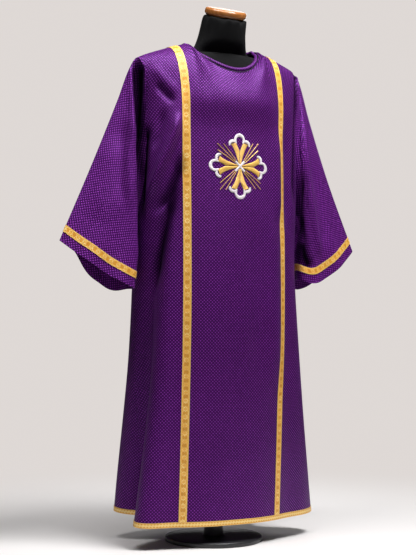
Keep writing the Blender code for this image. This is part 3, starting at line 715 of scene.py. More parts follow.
def ringPoints(ring, shares, layer, rise):
    outer = np.array([ring.outX, ring.outY, ring.outZ])
    inner = np.array([ring.inX, ring.inY, ring.inZ])
    depth = -ring.front if layer == "front" else ring.back
    turnIn = shares ** hanging["flatness"]
    bulge = shares ** hanging["fullness"] * np.sqrt(np.clip(1 - turnIn, 0, 1))
    for fold in sleeveFolds:
        if fold.layer == layer:
            place = fold.placeTop + (fold.placeEnd - fold.placeTop) * ring.along
            lift = fold.depth * ring.along / abs(depth)
            bulge = bulge + lift * np.exp(-((shares - place) / fold.width) ** 2)
    points = outer + (inner - outer) * shares[:, None]
    points[:, 1] += cloth["shoulderY"] + depth * bulge
    if layer == "front":
        points[:, 2] -= ring.frontSag * np.sin(math.pi * shares) ** 0.8
    else:
        drop = ease((shares - hanging["sagFrom"]) / hanging["sagOver"]) * (1 - shares ** 10)
        lifted = 0.5 * np.sin(math.pi * np.clip(shares / hanging["liftUntil"], 0, 1))
        points[:, 2] -= ring.backSag * (drop - lifted)
    points[:, 2] += rise * ring.along * turnIn
    return points


def armholeLoop(front, back, side):
    # the opening's edge, down the front and up the back, the way the cloth leaves it, and
    # the distance down it
    first = len(skirtHeights()) - 1 - cloth["armholeRows"]
    edge, before = (-1, -2) if side > 0 else (0, 1)
    flip = np.array([side, 1, 1])
    down, up = front[first:, edge][::-1] * flip, back[first:, edge] * flip
    runDown = unit(front[first:, edge] - front[first:, before])[::-1] * flip
    runUp = unit(back[first:, edge] - back[first:, before]) * flip
    count = len(down) - 1
    start = np.concatenate([down[:-1], up[:-1]])
    run = np.concatenate([runDown[:-1], runUp[:-1]])
    start[0] = (down[0] + up[-1]) / 2
    start[count] = (down[-1] + up[0]) / 2
    run[0] = unit(runDown[0] + runUp[-1])
    openShare = np.clip(np.abs(down - up[::-1])[:, 1] / (2 * cloth["armholeHalf"]), 0, 1)
    run[:, 1] *= 0.5 * np.concatenate([openShare[:-1], openShare[:0:-1]])
    run = unit(run + np.array([hanging["leaveOut"], 0, 0]))
    run[count] = unit(np.array([1, 0, hanging["leaveDown"]]))
    return start + run * 1.4 * cloth["gap"], run, reach(down)


def sleeveStations(start, length, side):
    # the armhole and every ring of the sleeve, as rows of matching points
    count = len(length) - 1
    around = (1 - np.cos(math.pi * np.arange(count + 1) / count)) / 2
    stations = [start]
    for ring in sleeveRings:
        spread = min(ring.along / hanging["evenUntil"], 1)
        shares = (1 - spread) * length / length[-1] + spread * around
        ahead, behind = [ringPoints(ring, shares, layer, underarmRise[side])
                         for layer in ("front", "back")]
        stations.append(np.concatenate([ahead[:-1], behind[:0:-1]]))
    return np.array(stations)


def sleeveRows(stations, run):
    # smooth rows down to the braid, narrow ones under it, and the last to the cuff's edge
    knots = np.array([0.0] + [ring.along for ring in sleeveRings])
    slopes = np.gradient(stations, knots, axis=0)
    slopes[0] = run * np.linalg.norm(slopes[0], axis=1, keepdims=True) * 0.5
    cuffRun = np.linalg.norm(slopes[-1], axis=1)

    def at(places):
        # one row of points, each column at its own share of the sleeve
        i = np.clip(np.searchsorted(knots, places) - 1, 0, len(knots) - 2)
        step = (knots[i + 1] - knots[i])[:, None]
        t = (places[:, None] - knots[i][:, None]) / step
        c = np.arange(len(places))
        return hermite(stations[i, c], stations[i + 1, c],
                       slopes[i, c] * step, slopes[i + 1, c] * step, t)

    up, wide = cuffBraid["up"], cuffBraid["width"]
    rows = [stations[0], stations[0] + run * cloth["seamColumn"] * 0.5]
    for share in np.linspace(0.02, 1, cloth["sleeveRows"]):
        rows.append(at(share * (1 - (up + wide) / cuffRun)))
    for share in np.linspace(0, 1, cloth["cuffRows"] + 1)[1:]:
        rows.append(at(1 - (up + wide * (1 - share)) / cuffRun))
    for share in np.linspace(0, 1, cloth["openingRows"] + 1)[1:]:
        rows.append(at(1 - up * (1 - share) / cuffRun))
    return np.array(rows)


def makeSleeve(front, back, side):
    start, run, length = armholeLoop(front, back, side)
    flip = np.array([side, 1, 1])
    grid = sleeveRows(sleeveStations(start, length, side), run) * flip
    outward = gridNormals(grid, closed=True) * side
    count = len(length) - 1
    columns = np.arange(2 * count)
    inside = {"front": ease(np.minimum(columns, count - columns) / 4),
              "back": ease(np.minimum(columns - count, 2 * count - columns) / 4)}
    joined = ease(np.arange(len(grid)) / 3)[:, None]
    down = np.arange(len(grid)) / len(grid)
    low = ease((down - hanging["easeFrom"]) / hanging["easeOver"])[:, None, None]
    keep = ease(np.minimum(columns, 2 * count - columns) / 5)
    keep = (keep * ease(np.abs(columns - count) / 5))[None, :, None]
    for _ in range(hanging["easing"]):
        grid += (evened(grid, 1) - grid) * low * keep
    away = ((count - columns) / count - hanging["hangPlace"]) / hanging["hangWidth"]
    grown = ease((down - hanging["hangFrom"]) / hanging["hangOver"])[:, None]
    hang = np.exp(-away ** 2) * (columns <= count) * grown
    grid[:, :, 0] -= side * hanging["hangInward"] * hang
    grid[:, :, 1] -= hanging["hangForward"] * hang
    # painted shade in the sleeve's deepest creases, and painted highlight on some crests
    shade = np.zeros(grid.shape[:2])
    for layer in ("front", "back"):
        for crease in sleeveCreases["right" if side < 0 else "left", layer]:
            push, dark = creasePush(grid[:, :, 2], np.abs(grid[:, :, 0]), [crease])
            grid += outward * (push * joined * inside[layer])[:, :, None]
            shade = mergePaintedShade(shade, dark * inside[layer])
    return grid, shade


# Meshes

def gridFaces(rows, columns, closed, looped=False):
    # closed joins the last column to the first, and looped the last row to the first
    r, c = np.meshgrid(np.arange(rows if looped else rows - 1),
                       np.arange(columns if closed else columns - 1), indexing="ij")
    n, m = (c + 1) % columns, (r + 1) % rows
    corners = [r * columns + c, r * columns + n, m * columns + n, m * columns + c]
    return np.stack([k.ravel() for k in corners], axis=1)


def addAttribute(mesh, name, values):
    layer = mesh.attributes.new(name=name, type="FLOAT", domain="POINT")
    layer.data.foreach_set("value", values.ravel().astype(np.float32))


def finishMesh(name, mesh, paint, outward=True):
    # faces that all look out, smooth shading and one finish
    if outward:
        shape = bmesh.new()
        shape.from_mesh(mesh)
        bmesh.ops.recalc_face_normals(shape, faces=shape.faces)
        shape.to_mesh(mesh)
        shape.free()
    mesh.polygons.foreach_set("use_smooth", [True] * len(mesh.polygons))
    mesh.materials.append(paint)
    return addObject(name, mesh)


def sheetMesh(name, grid, paint, thickness, outward=False, closed=False, flipped=False,
              across=None, along=None, shade=None):
    # a wall through a grid of points, with a map in metres of cloth: across and along
    rows, columns = grid.shape[:2]
    faces = gridFaces(rows, columns, closed)
    if flipped:
        faces = faces[:, ::-1]
    mesh = newMesh(name, grid, faces.tolist())
    if across is None:
        across, along = reach(grid, 1), reach(grid, 0)
    if across.ndim == 2:
        across, along = np.stack([across, across]), np.stack([along, along])
    corners = np.empty(len(mesh.loops), np.int32)
    mesh.loops.foreach_get("vertex_index", corners)
    row, column = corners // columns, corners % columns
    faceColumn = np.repeat(np.arange(len(faces)) % (columns if closed else columns - 1), 4)
    half = (faceColumn >= columns // 2).astype(int) if closed else np.zeros(len(row), int)
    if closed:
        column = np.where((faceColumn == columns - 1) & (column == 0), columns, column)
    spots = np.stack([across[half, row, column], along[half, row, column]], axis=1)
    layer = mesh.uv_layers.new(name="clothMap")
    layer.data.foreach_set("uv", spots.astype(np.float32).ravel())
    # the creases' painted shade and painted highlight, read by the finish
    if shade is not None:
        addAttribute(mesh, "shade", shade)
    made = finishMesh(name, mesh, paint, outward=False)
    wall = made.modifiers.new("wall", "SOLIDIFY")
    wall.thickness = thickness
    wall.offset = 1 if outward else -1
    wall.use_quality_normals = True
    return made


def settle(piece, slot, *nodes):
    # bake the modifiers, seat the piece on the only body, and hide the solids it stands for; the
    # slot is not used
    graph = bpy.context.evaluated_depsgraph_get()
    baked = bpy.data.meshes.new_from_object(piece.evaluated_get(graph))
    piece.modifiers.clear()
    piece.data = baked
    baked.name = piece.name
    baked.set_sharp_from_angle(angle=math.radians(50))
    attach(piece, "root")
    if nodes:
        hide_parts(*nodes)
    return piece


# Shared effects and finishes

purple = {
    "ground": (0.021, 0.0007, 0.040),
    "dots": (0.236, 0.035, 0.350),
    "pitch": 0.0063,
    "yarn": 0.0006,
    "roughness": 0.43,
    "sheen": 0.05,
    "relief": 0.0005,
}
# the sleeves' brocade: the panels' cloth with its ground and dots painted lighter, a painted
# sheen, and a lower relief
sleeveLookWithPaintedSheen = {**purple, "ground": (0.033, 0.0013, 0.060), "dots": (0.318, 0.050, 0.466),
              "relief": 0.0003}
goldBraid = {
    "ground": (0.82, 0.40, 0.038),
    "deep": (0.66, 0.255, 0.008),
    "cream": (1.0, 0.82, 0.36),
    "motifLength": 0.0215,
    "thread": 0.0005,
    "roughness": 0.42,
    "metallic": 0.04,
}


def makeDiamondWeave():
    # small raised dots on a square lattice, joined by fine ribs, over a plain ground
    tree, given, out = newGroup("diamondWeave", [
        ("Map", "Vector"), ("Pitch", "Float", purple["pitch"]), ("Turn", "Float", 0.0),
    ], [("Dots", "Float"), ("Height", "Float")])
    turned = addNode(tree, "ShaderNodeVectorRotate",
                     {"Vector": given["Map"], "Angle": given["Turn"]}, rotation_type="Z_AXIS")
    pitch = addNode(tree, "ShaderNodeCombineXYZ",
                    {"X": given["Pitch"], "Y": given["Pitch"], "Z": 1.0})
    sized = calculate("DIVIDE", turned, pitch, kind="ShaderNodeVectorMath")
    waves = [calculate("COSINE", part * (2 * math.pi)) * 0.5 + 0.5 for part in split(sized)[:2]]
    dots = remap(waves[0] * waves[1], 0.16, 0.70)
    # each dot catches the light a little differently
    centre = calculate("ADD", sized, (0.5, 0.5, 0), kind="ShaderNodeVectorMath")
    cell = calculate("FLOOR", centre, kind="ShaderNodeVectorMath")
    chance = addNode(tree, "ShaderNodeTexWhiteNoise", {"Vector": cell}, "Value",
                     noise_dimensions="2D")
    ribs = calculate("POWER", waves[0], 3.0) + calculate("POWER", waves[1], 3.0)
    # the yarns of the ground lie along the grain
    yarns = [calculate("SINE", part * (2 * math.pi / purple["yarn"]))
             for part in split(given["Map"])[:2]]
    woven = yarns[0] * yarns[1] * 0.5 + 0.5
    fill(out, {"Dots": dots * (chance * 0.35 + 0.72),
               "Height": woven * 0.12 + (ribs * 0.25 + dots)})
    return tree


def makeMottle():
    # slow, uneven change over a surface, about 1 where nothing changes
    tree, given, out = newGroup("mottle", [("Size", "Float", 6.0), ("Amount", "Float", 0.2)],
                                [("Factor", "Float")])
    place = addNode(tree, "ShaderNodeTexCoord", output="Object")
    change = (noise(place, given["Size"], Detail=3.0) - 0.5) * given["Amount"]
    fill(out, {"Factor": change * 2.0 + 1.0})
    return tree


diamondWeave = makeDiamondWeave()
mottle = makeMottle()


def uneven(tree, size, amount):
    return addNode(tree, "ShaderNodeGroup", {"Size": size, "Amount": amount}, "Factor",
                   node_tree=mottle)


def makeBrocade(name, turnDegrees, values):
    paint, tree, shader = newPaint(name)
    flat = addNode(tree, "ShaderNodeUVMap", uv_map="clothMap")
    dots = addNode(tree, "ShaderNodeGroup", {
        "Map": flat, "Pitch": values["pitch"], "Turn": math.radians(turnDegrees),
    }, "Dots", node_tree=diamondWeave)
    # the creases' painted shade dims the colour, and a negative one is a painted highlight that
    # brightens it
    paintedShade = addNode(tree, "ShaderNodeAttribute", output="Fac", attribute_name="shade")
    colour = blendColours(dots, values["ground"], values["dots"])
    fill(shader, {
        "Base Color": scaleColour(colour, uneven(tree, 5.0, 0.22) * (1.0 - paintedShade)),
        "Roughness": dots * -0.16 + (values["roughness"] + 0.08),
        # painted shade: where a crease is painted dark the finish turns to dark metal, which
        # mirrors nothing, so its depths stay black
        "Metallic": calculate("MAXIMUM", paintedShade, 0.0),
        "Normal": bump(Value(dots.node, "Height"), values["relief"], 0.6),
        "Specular IOR Level": 0.5,
        "Specular Tint": (0.62, 0.17, 1.0, 1),
        "Sheen Weight": values["sheen"],
        "Sheen Roughness": 0.45,
        "Sheen Tint": (0.55, 0.20, 0.80, 1),
    })
    return paint


def makeBraid(name, width, values, ornate=True):
    # woven gilt braid: plain borders, and between them amber discs and pale scrolls in turn
    paint, tree, shader = newPaint(name)
    flat = addNode(tree, "ShaderNodeUVMap", uv_map="clothMap")
    x, y, _ = split(flat)
    sideways = x / width - 0.5
    centred = abs(sideways)
    run = y / values["motifLength"]
    ragged = (noise(flat, 260.0, Detail=2.0) - 0.5) * 0.22
    if ornate:
        tall, shifted = [(calculate("FRACT", run + shift) - 0.5) * (values["motifLength"] / width)
                         for shift in (0.0, 0.5)]
        ring = calculate("SQRT", tall * tall + sideways * sideways) + ragged
        diamond = (abs(shifted) + centred) * 0.82 + ragged
        kept = remap(noise(flat, 38.0), 0.38, 0.60, 0.30)
        dark = remap(ring, 0.33, 0.25) * kept
        halo = calculate("COMPARE", ring, 0.385, 0.03)
        scroll = calculate("COMPARE", diamond, 0.25, 0.05)
        pale = (1.25 - kept) * calculate("MAXIMUM", halo * 0.8, scroll)
    else:
        patch = calculate("SINE", run * (5 * math.pi)) * 0.10 + (centred + ragged)
        pale = remap(patch, 0.30, 0.12) * 0.7
        dark = calculate("COMPARE", patch, 0.34, 0.05)
    pale = calculate("MAXIMUM", pale, remap(centred, 0.40, 0.43) * 0.45)
    # threads side by side, and painted glints: cream specks here and there, a painted highlight on
    # the gilt
    thread = calculate("SINE", y * (2 * math.pi / values["thread"]))
    paintedGlint = remap(noise(flat, 520.0, Detail=2.0, Roughness=0.7), 0.50, 0.68)
    shaded = blendColours(dark, values["ground"], values["deep"])
    lit = blendColours(pale * 0.85, shaded, values["cream"])
    lit = blendColours(paintedGlint * 0.28, lit, values["cream"])
    fill(shader, {
        "Base Color": scaleColour(lit, uneven(tree, 26.0, 0.10)),
        "Normal": bump(thread * 0.08 + pale + dark * -0.5, 0.0003, 0.6),
        "Roughness": values["roughness"],
        "Metallic": values["metallic"],
    })
    return paint


def makeSatin(name, light, deep, metallic, roughness):
    # satin stitch: fine threads, 0.7 mm apart, laid side by side across the shape
    paint, tree, shader = newPaint(name)
    flat = addNode(tree, "ShaderNodeUVMap", uv_map="clothMap")
    place = noise(flat, 300.0, Detail=2.0) * 0.0006 + split(flat)[1]
    ridge = calculate("SINE", place * (2 * math.pi / 0.0007)) * 0.5 + 0.5
    # light on each thread's crest and deep in the groove beside it: a painted highlight and
    # painted shade on the threads' relief
    colour = blendColours(ridge * 0.75 + 0.25, deep, light)
    fill(shader, {
        "Base Color": scaleColour(colour, uneven(tree, 90.0, 0.25)),
        "Normal": bump(ridge, 0.00025, 0.8),
        "Roughness": roughness,
        "Metallic": metallic,
    })
    return paint


panelCloth = makeBrocade("panelCloth", 45, purple)
# the sleeves' cloth, with its painted sheen
sleeveCloth = makeBrocade("sleeveCloth", 0, sleeveLookWithPaintedSheen)
bandPaint = makeBraid("bandBraid", band["width"], goldBraid)
cuffPaint = makeBraid("cuffBraid", cuffBraid["width"], goldBraid)
hemPaint = makeBraid("hemBraid", hemBraid["width"], goldBraid, ornate=False)
satins = {
    "gold": makeSatin("goldSatin", (0.98, 0.64, 0.17), (0.78, 0.38, 0.04), 0.15, 0.36),
    "white": makeSatin("whiteSatin", (0.95, 0.88, 0.92), (0.74, 0.67, 0.72), 0.0, 0.38),
}
print("finishes made")


# The garment

front, back, shades = makePanels()
frontOut, backOut = gridNormals(front), -gridNormals(back)
middle = front.shape[1] // 2
neckSpan = slice(middle - cloth["neckCells"], middle + cloth["neckCells"] + 1)
sides = {"right": -1, "left": 1}


def sheetArea(grid):
    diagonals = np.cross(grid[1:, 1:] - grid[:-1, :-1], grid[1:, :-1] - grid[:-1, 1:])
    return float(np.linalg.norm(diagonals, axis=2).sum() / 2)


def makePanel(grid, panel):
    # mapped in metres of cloth across from the centre line and up from the hem, which
    # gives the cut's width and length as well
    across = reach(grid, 1)
    across, along = flatten(grid, across - across[:, [middle]], reach(grid, 0))
    piece = sheetMesh(panel + "Cloth", grid, panelCloth, cloth["wall"], flipped=panel == "back",
                      across=across, along=along, shade=shades[panel])
    cut = (float(np.ptp(across)), float(np.ptp(along))), sheetArea(grid)
    return settle(piece, "purple_cloth", panel + "_panel"), cut


frontCloth, frontCut = makePanel(front, "front")
backCloth, backCut = makePanel(back, "back")


def sleeveMap(grid, side):
    # both layers laid flat with their grain as it hangs; they meet at the edges
    half = grid.shape[1] // 2
    closed = closeRound(grid)
    tilt = math.radians(hanging["grain"])
    height = closed @ np.array([side * math.sin(tilt), 0, math.cos(tilt)])
    steps = np.linalg.norm(np.diff(closed, axis=1), axis=2)
    level = np.sqrt(np.clip(steps ** 2 - np.diff(height, axis=1) ** 2, 0, None))
    down = np.linalg.norm(np.diff(grid[:, 0], axis=0), axis=1)
    outward = np.sqrt(np.clip(down ** 2 - np.diff(height[:, 0]) ** 2, 0, None))
    start = -np.concatenate([[0], np.cumsum(outward)])[:, None]
    front = np.hstack([start, start + np.cumsum(level[:, :half], axis=1)])
    back = np.hstack([start, start + np.cumsum(level[:, :half - 1:-1], axis=1)])[:, ::-1]
    across, along = np.zeros((2, 2, *closed.shape[:2]))
    for k, (span, spread) in enumerate(((slice(0, half + 1), front), (slice(half, None), back))):
        across[k, :, span], along[k, :, span] = flatten(closed[:, span], spread,
                                                        height[:, span])
    return across, along


def makeRing(name, grid, paint, node, flipped=False):
    # a braid round an opening, with its own length running round
    joined = closeRound(grid)
    piece = sheetMesh(name, grid, paint, band["thickness"], outward=True, closed=True,
                      flipped=flipped, across=reach(joined, 0), along=reach(joined, 1))
    return settle(piece, "gold_braid", node)


sleeves, braids, sleeveCuts = {}, {}, {}
for name, side in sides.items():
    sleeve, shade = makeSleeve(front, back, side)
    across, along = sleeveMap(sleeve, side)
    whole = closeRound(sleeve)
    size = float(reach(whole, 1)[:, -1].max()), float(reach(whole, 0)[-1].max())
    sleeveCuts[name] = size, sheetArea(whole)
    piece = sheetMesh(name + "Sleeve", sleeve, sleeveCloth, cloth["wall"], closed=True,
                      flipped=side < 0, across=across, along=along, shade=shade)
    sleeves[name] = settle(piece, "purple_cloth", "sleeve_" + name)
    sleeveOut = gridNormals(sleeve, closed=True) * side
    last = len(sleeve) - cloth["openingRows"]
    trim = (sleeve + sleeveOut * cloth["gap"])[last - cloth["cuffRows"] - 1:last]
    braids[name] = makeRing(name + "CuffBraid", trim, cuffPaint, "cuff_braid_" + name, side < 0)


def bandStrip(side):
    # up the front, over the shoulder and down the back
    first = middle + side * (cloth["neckCells"] + cloth["besideNeckCells"])
    columns = sorted(first + side * k for k in range(cloth["bandCells"] + 1))
    strips = []
    for grid, normals in ((front, frontOut), (back, backOut)):
        lifted = grid + normals * cloth["gap"]
        strip = lifted[cloth["hemRows"]:, columns].copy()
        strip[0] += unit(strip[1] - strip[0]) * cloth["gap"]
        strips.append(strip)
    seam = (strips[0][-1:] + strips[1][-1:]) / 2
    return np.concatenate([strips[0][:-1], seam, strips[1][-2::-1]])


bands, strips = {}, {}
for name, side in sides.items():
    strips[name] = bandStrip(side)
    piece = sheetMesh(name + "Band", strips[name], bandPaint, band["thickness"], outward=True)
    bands[name] = settle(piece, "gold_braid", "clavus_" + name)

rows = cloth["hemRows"] + 1
hemLine = np.concatenate([(front + frontOut * cloth["gap"])[:rows],
                          (back + backOut * cloth["gap"])[:rows, ::-1][:, 1:-1]], axis=1)
hemPiece = makeRing("hemBraidRing", hemLine, hemPaint, "hem_braid")
print("garment made")


# The roll of cloth round the neck: a soft cord wrapped by slanted stitches

neckRoll = {
    "strands": 2,
    "twistLength": 0.0105,
    "relief": 0.22,
    "sides": 20,
    "steps": 640,
    "easing": 12,
    "deep": (0.018, 0.0006, 0.034),
    "light": (0.150, 0.022, 0.230),
}


def neckLine():
    edge = np.concatenate([front[-1, neckSpan], back[-1, neckSpan][::-1][1:-1]])
    face = np.concatenate([frontOut[-1, neckSpan], backOut[-1, neckSpan][::-1][1:-1]])
    run = unit(np.roll(edge, -1, axis=0) - np.roll(edge, 1, axis=0))
    inward = unit(np.cross(face, run))
    line = edge + inward * (neck["rollRadius"] + 1.6 * cloth["gap"]) - face * cloth["wall"] / 2
    closed = np.concatenate([line, line[:1]])
    lengths = reach(closed)
    even = np.linspace(0, lengths[-1], neckRoll["steps"] + 1)[:-1]
    smooth = np.stack([np.interp(even, lengths, closed[:, k]) for k in range(3)], axis=1)
    for _ in range(neckRoll["easing"]):
        smooth = evened(smooth, 0)
    return smooth, even, lengths[-1]


def makeNeckRoll(values):
    line, even, total = neckLine()
    ahead = unit(np.roll(line, -1, axis=0) - np.roll(line, 1, axis=0))
    outer = unit(np.cross(ahead, np.array([0.0, 0.0, 1.0])))
    over = np.cross(outer, ahead)
    turn = 2 * math.pi * np.arange(values["sides"]) / values["sides"]
    twists = round(total / values["twistLength"]) / total * 2 * math.pi
    phase = values["strands"] * (turn[None, :] + even[:, None] * twists)
    swell = np.abs(np.cos(phase / 2))
    radius = neck["rollRadius"] * (1 + values["relief"] * (swell - 0.8))
    grid = line[:, None] + radius[..., None] * (np.cos(turn)[None, :, None] * outer[:, None]
                                                + np.sin(turn)[None, :, None] * over[:, None])
    mesh = newMesh("neckRoll", grid, gridFaces(*swell.shape, True, looped=True).tolist())
    # where each strand swells, for the roll's painted highlight and painted shade
    addAttribute(mesh, "strandHighlightAndShade", ease((swell - 0.55) / 0.4))
    return settle(finishMesh("neckRoll", mesh, rollPaint), "neck_roll", "neck_binding")


def makeRollPaint(values):
    # slanting stitches round the whole roll: a painted highlight where each stitch swells, and
    # painted shade in the hollows between them
    paint, tree, shader = newPaint("rollCloth")
    stitch = addNode(tree, "ShaderNodeAttribute", output="Fac", attribute_name="strandHighlightAndShade")
    lit = blendColours(stitch, values["deep"], values["light"])
    fill(shader, {"Base Color": scaleColour(lit, uneven(tree, 160.0, 0.30)), "Roughness": 0.5,
                  "Specular Tint": (0.70, 0.30, 1.0, 1)})
    return paint


rollPaint = makeRollPaint(neckRoll)
neckPiece = makeNeckRoll(neckRoll)
print("neck roll made")


# The breast cross in satin stitch

cross = {
    "half": 0.0865,
    "height": 1.018,
    "lift": 0.0005,
    "satinHeight": 0.0015,
    "rayRadius": 0.00075,
    "rayProud": 0.8,            # share of its radius that a ray's middle stands off the cloth
    "raySteps": 14,
    "rays": [((0.13, 0.19), (0.48, 0.74)), ((0.15, 0.16), (0.67, 0.74)),
             ((0.19, 0.13), (0.67, 0.54))],
    "loopCentre": 0.812,
    "loopRadius": 0.150,
    "loopSweep": 134,           # degrees each way
    "loopWidth": 0.082,
    "tipWidth": 0.030,
    "lobeCentre": (0.655, 0.222),
    "lobeRadius": 0.120,
    "lobeSweep": (-30, 104),
    "lobeWidth": 0.098,
    "barReach": (0.012, 0.215),
    "barWidth": 0.078,
    "domeSteps": 9,
    "petalStart": 0.055,
    "petalLength": 0.615,
    "petalWidths": (0.030, 0.195, 0.075),   # at the centre, more with distance, and at the tip
    "petalGap": 0.007,                      # half of it, between two petals
    "petalParting": (0.66, 0.34),           # share where two petals part, and how fast
    "petalSteps": 34,
    "loopSteps": 44,
    "lobeSteps": 26,
    "barSteps": 10,
}


def chestPoint(x, z, lift):
    # the point of the front panel's face at a place seen from straight ahead
    chestRow = len(skirtHeights())
    rows = front[chestRow - cloth["armholeRows"] - 30:chestRow + 12]
    heights, step = rows[:, middle, 2], 0.004
    depths = [np.interp(x, row[:, 0], row[:, 1]) for row in rows]
    beside = [np.interp(x + step, row[:, 0], row[:, 1]) for row in rows]
    here = np.interp(z, heights, depths)
    slopeX = (np.interp(z, heights, beside) - here) / step
    slopeZ = (np.interp(z + step, heights, depths) - here) / step
    return np.array([x, here, z]) + unit(np.array([slopeX, -1.0, slopeZ])) * lift


def satinShape(name, edges, turn, colour, swell=1.0, nodes=()):
    # a domed strip between two edges of (along the arm, across it), laid on the chest
    height = cross["satinHeight"] * swell
    left, right = np.array(edges) * cross["half"]
    widths = np.linalg.norm(right - left, axis=1)
    profile = np.linspace(-1, 1, cross["domeSteps"])
    dome = np.sqrt(np.clip(1 - profile ** 2, 0, 1)) ** 0.8
    ring = list(zip(profile, dome)) + [(spot, -1) for spot in profile[-2:0:-2]]
    points, spots = [], []
    for a, b, width, travelled in zip(left, right, widths, reach((left + right) / 2)):
        widest = min(1.0, width / (2.2 * height))
        for spot, rise in ring:
            along, across = a + (b - a) * (spot + 1) / 2
            x = along * math.sin(turn) + across * math.cos(turn)
            z = cross["height"] + along * math.cos(turn) - across * math.sin(turn)
            lift = cross["lift"] + (height * rise * widest if rise > 0 else 0.0)
            points.append(chestPoint(x, z, lift))
            spots.append((spot * width / 2, travelled))
    faces = gridFaces(len(left), len(ring), True).tolist()
    faces.append(list(range(len(ring))))
    faces.append(list(range(len(points) - len(ring), len(points)))[::-1])
    mesh = newMesh(name, points, faces)
    layer = mesh.uv_layers.new(name="clothMap")
    for loop in mesh.loops:
        layer.data[loop.index].uv = spots[loop.vertex_index]
    return settle(finishMesh(name, mesh, satins[colour]), colour + "_embroidery", *nodes)


def petalEdges(side):
    run = np.linspace(0, 1, cross["petalSteps"])
    along = cross["petalStart"] + cross["petalLength"] * run
    root, spread, tip = cross["petalWidths"]
    outer = root + spread * run + tip * run ** 6
    parting, slope = cross["petalParting"]
    inner = cross["petalGap"] + slope * np.clip(run - parting, 0, 1)
    return (np.stack([along - 0.005 * run, side * outer], axis=1),
            np.stack([along + 0.055 * run ** 3, side * inner], axis=1))


def stripEdges(path, width):
    run = unit(np.gradient(path, axis=0))
    offset = np.stack([-run[:, 1], run[:, 0]], axis=1) * width[:, None] / 2
    return path + offset, path - offset


def arc(centre, radius, first, last, count):
    turn = np.radians(np.linspace(first, last, count))
    return np.array(centre) + radius * np.stack([np.cos(turn), np.sin(turn)], axis=1)


def crossArm(arm, turn):
    # two petals, the loop over them, a lobe on either side and a bar at the centre
    made = []
    for side, part in ((-1, "A"), (1, "B")):
        nodes = ["cross_petals_" + arm] if side < 0 else []
        made.append(satinShape(arm + "Petal" + part, petalEdges(side), turn, "gold", 1.0, nodes))
    sweep, count = cross["loopSweep"], cross["loopSteps"]
    loop = arc((cross["loopCentre"], 0), cross["loopRadius"], -sweep, sweep, count)
    share = np.abs(np.linspace(-1, 1, count))
    width = cross["loopWidth"] + cross["tipWidth"] * (1 - ease(share / 0.55))
    width *= 1 - 0.5 * np.clip((share - 0.8) / 0.2, 0, 1)
    made.append(satinShape(arm + "Loop", stripEdges(loop, width), turn, "white", 1.0,
                           ["cross_tip_" + arm]))
    count = cross["lobeSteps"]
    for side, part in ((-1, "A"), (1, "B")):
        lobe = arc(cross["lobeCentre"], cross["lobeRadius"], *cross["lobeSweep"], count)
        lobe[:, 1] *= side
        share = np.linspace(0, 1, count)
        width = cross["lobeWidth"] * np.sin(math.pi * (0.16 + 0.76 * share)) ** 0.6
        made.append(satinShape(arm + "Lobe" + part, stripEdges(lobe, width), turn, "white", 1.05))
    count = cross["barSteps"]
    bar = np.stack([np.linspace(*cross["barReach"], count), np.zeros(count)], axis=1)
    made.append(satinShape(arm + "CentreBar", stripEdges(bar, np.full(count, cross["barWidth"])),
                           turn + math.pi / 4, "white", 1.3))
    return made


trims = []
for quarter, arm in enumerate(("upper", "left", "lower", "right")):
    trims += crossArm(arm, math.pi / 2 * quarter)


def newRowTree(name, inputs):
    # a geometry tree that starts with even points along every line of the given mesh
    tree, given, out = newGroup(name, [("Lines", "Geometry"), *inputs, ("Finish", "Material")],
                                [("Rows", "Geometry")], "Geometry")
    curve = addNode(tree, "GeometryNodeMeshToCurve", {0: given["Lines"]})
    even = addNode(tree, "GeometryNodeResampleCurve",
                   {"Curve": curve, "Length": given["Spacing"]}, mode="LENGTH")
    return tree, given, out, even


def closeRowTree(tree, given, out, rows):
    whole = addNode(tree, "GeometryNodeRealizeInstances", {0: rows})
    fill(out, {0: addNode(tree, "GeometryNodeSetMaterial",
                          {0: whole, "Material": given["Finish"]})})
    return tree


def makeThreadTree():
    # a thread of even thickness laid along every line
    tree, given, out, even = newRowTree("laidThread", [
        ("Radius", "Float", 0.0005), ("Spacing", "Float", 0.002), ("Sides", "Int", 6)])
    ring = addNode(tree, "GeometryNodeCurvePrimitiveCircle",
                   {"Resolution": given["Sides"], "Radius": given["Radius"]})
    tube = addNode(tree, "GeometryNodeCurveToMesh",
                   {"Curve": even, "Profile Curve": ring, "Fill Caps": True})
    soft = addNode(tree, "GeometryNodeSetShadeSmooth", {0: tube})
    return closeRowTree(tree, given, out, soft)


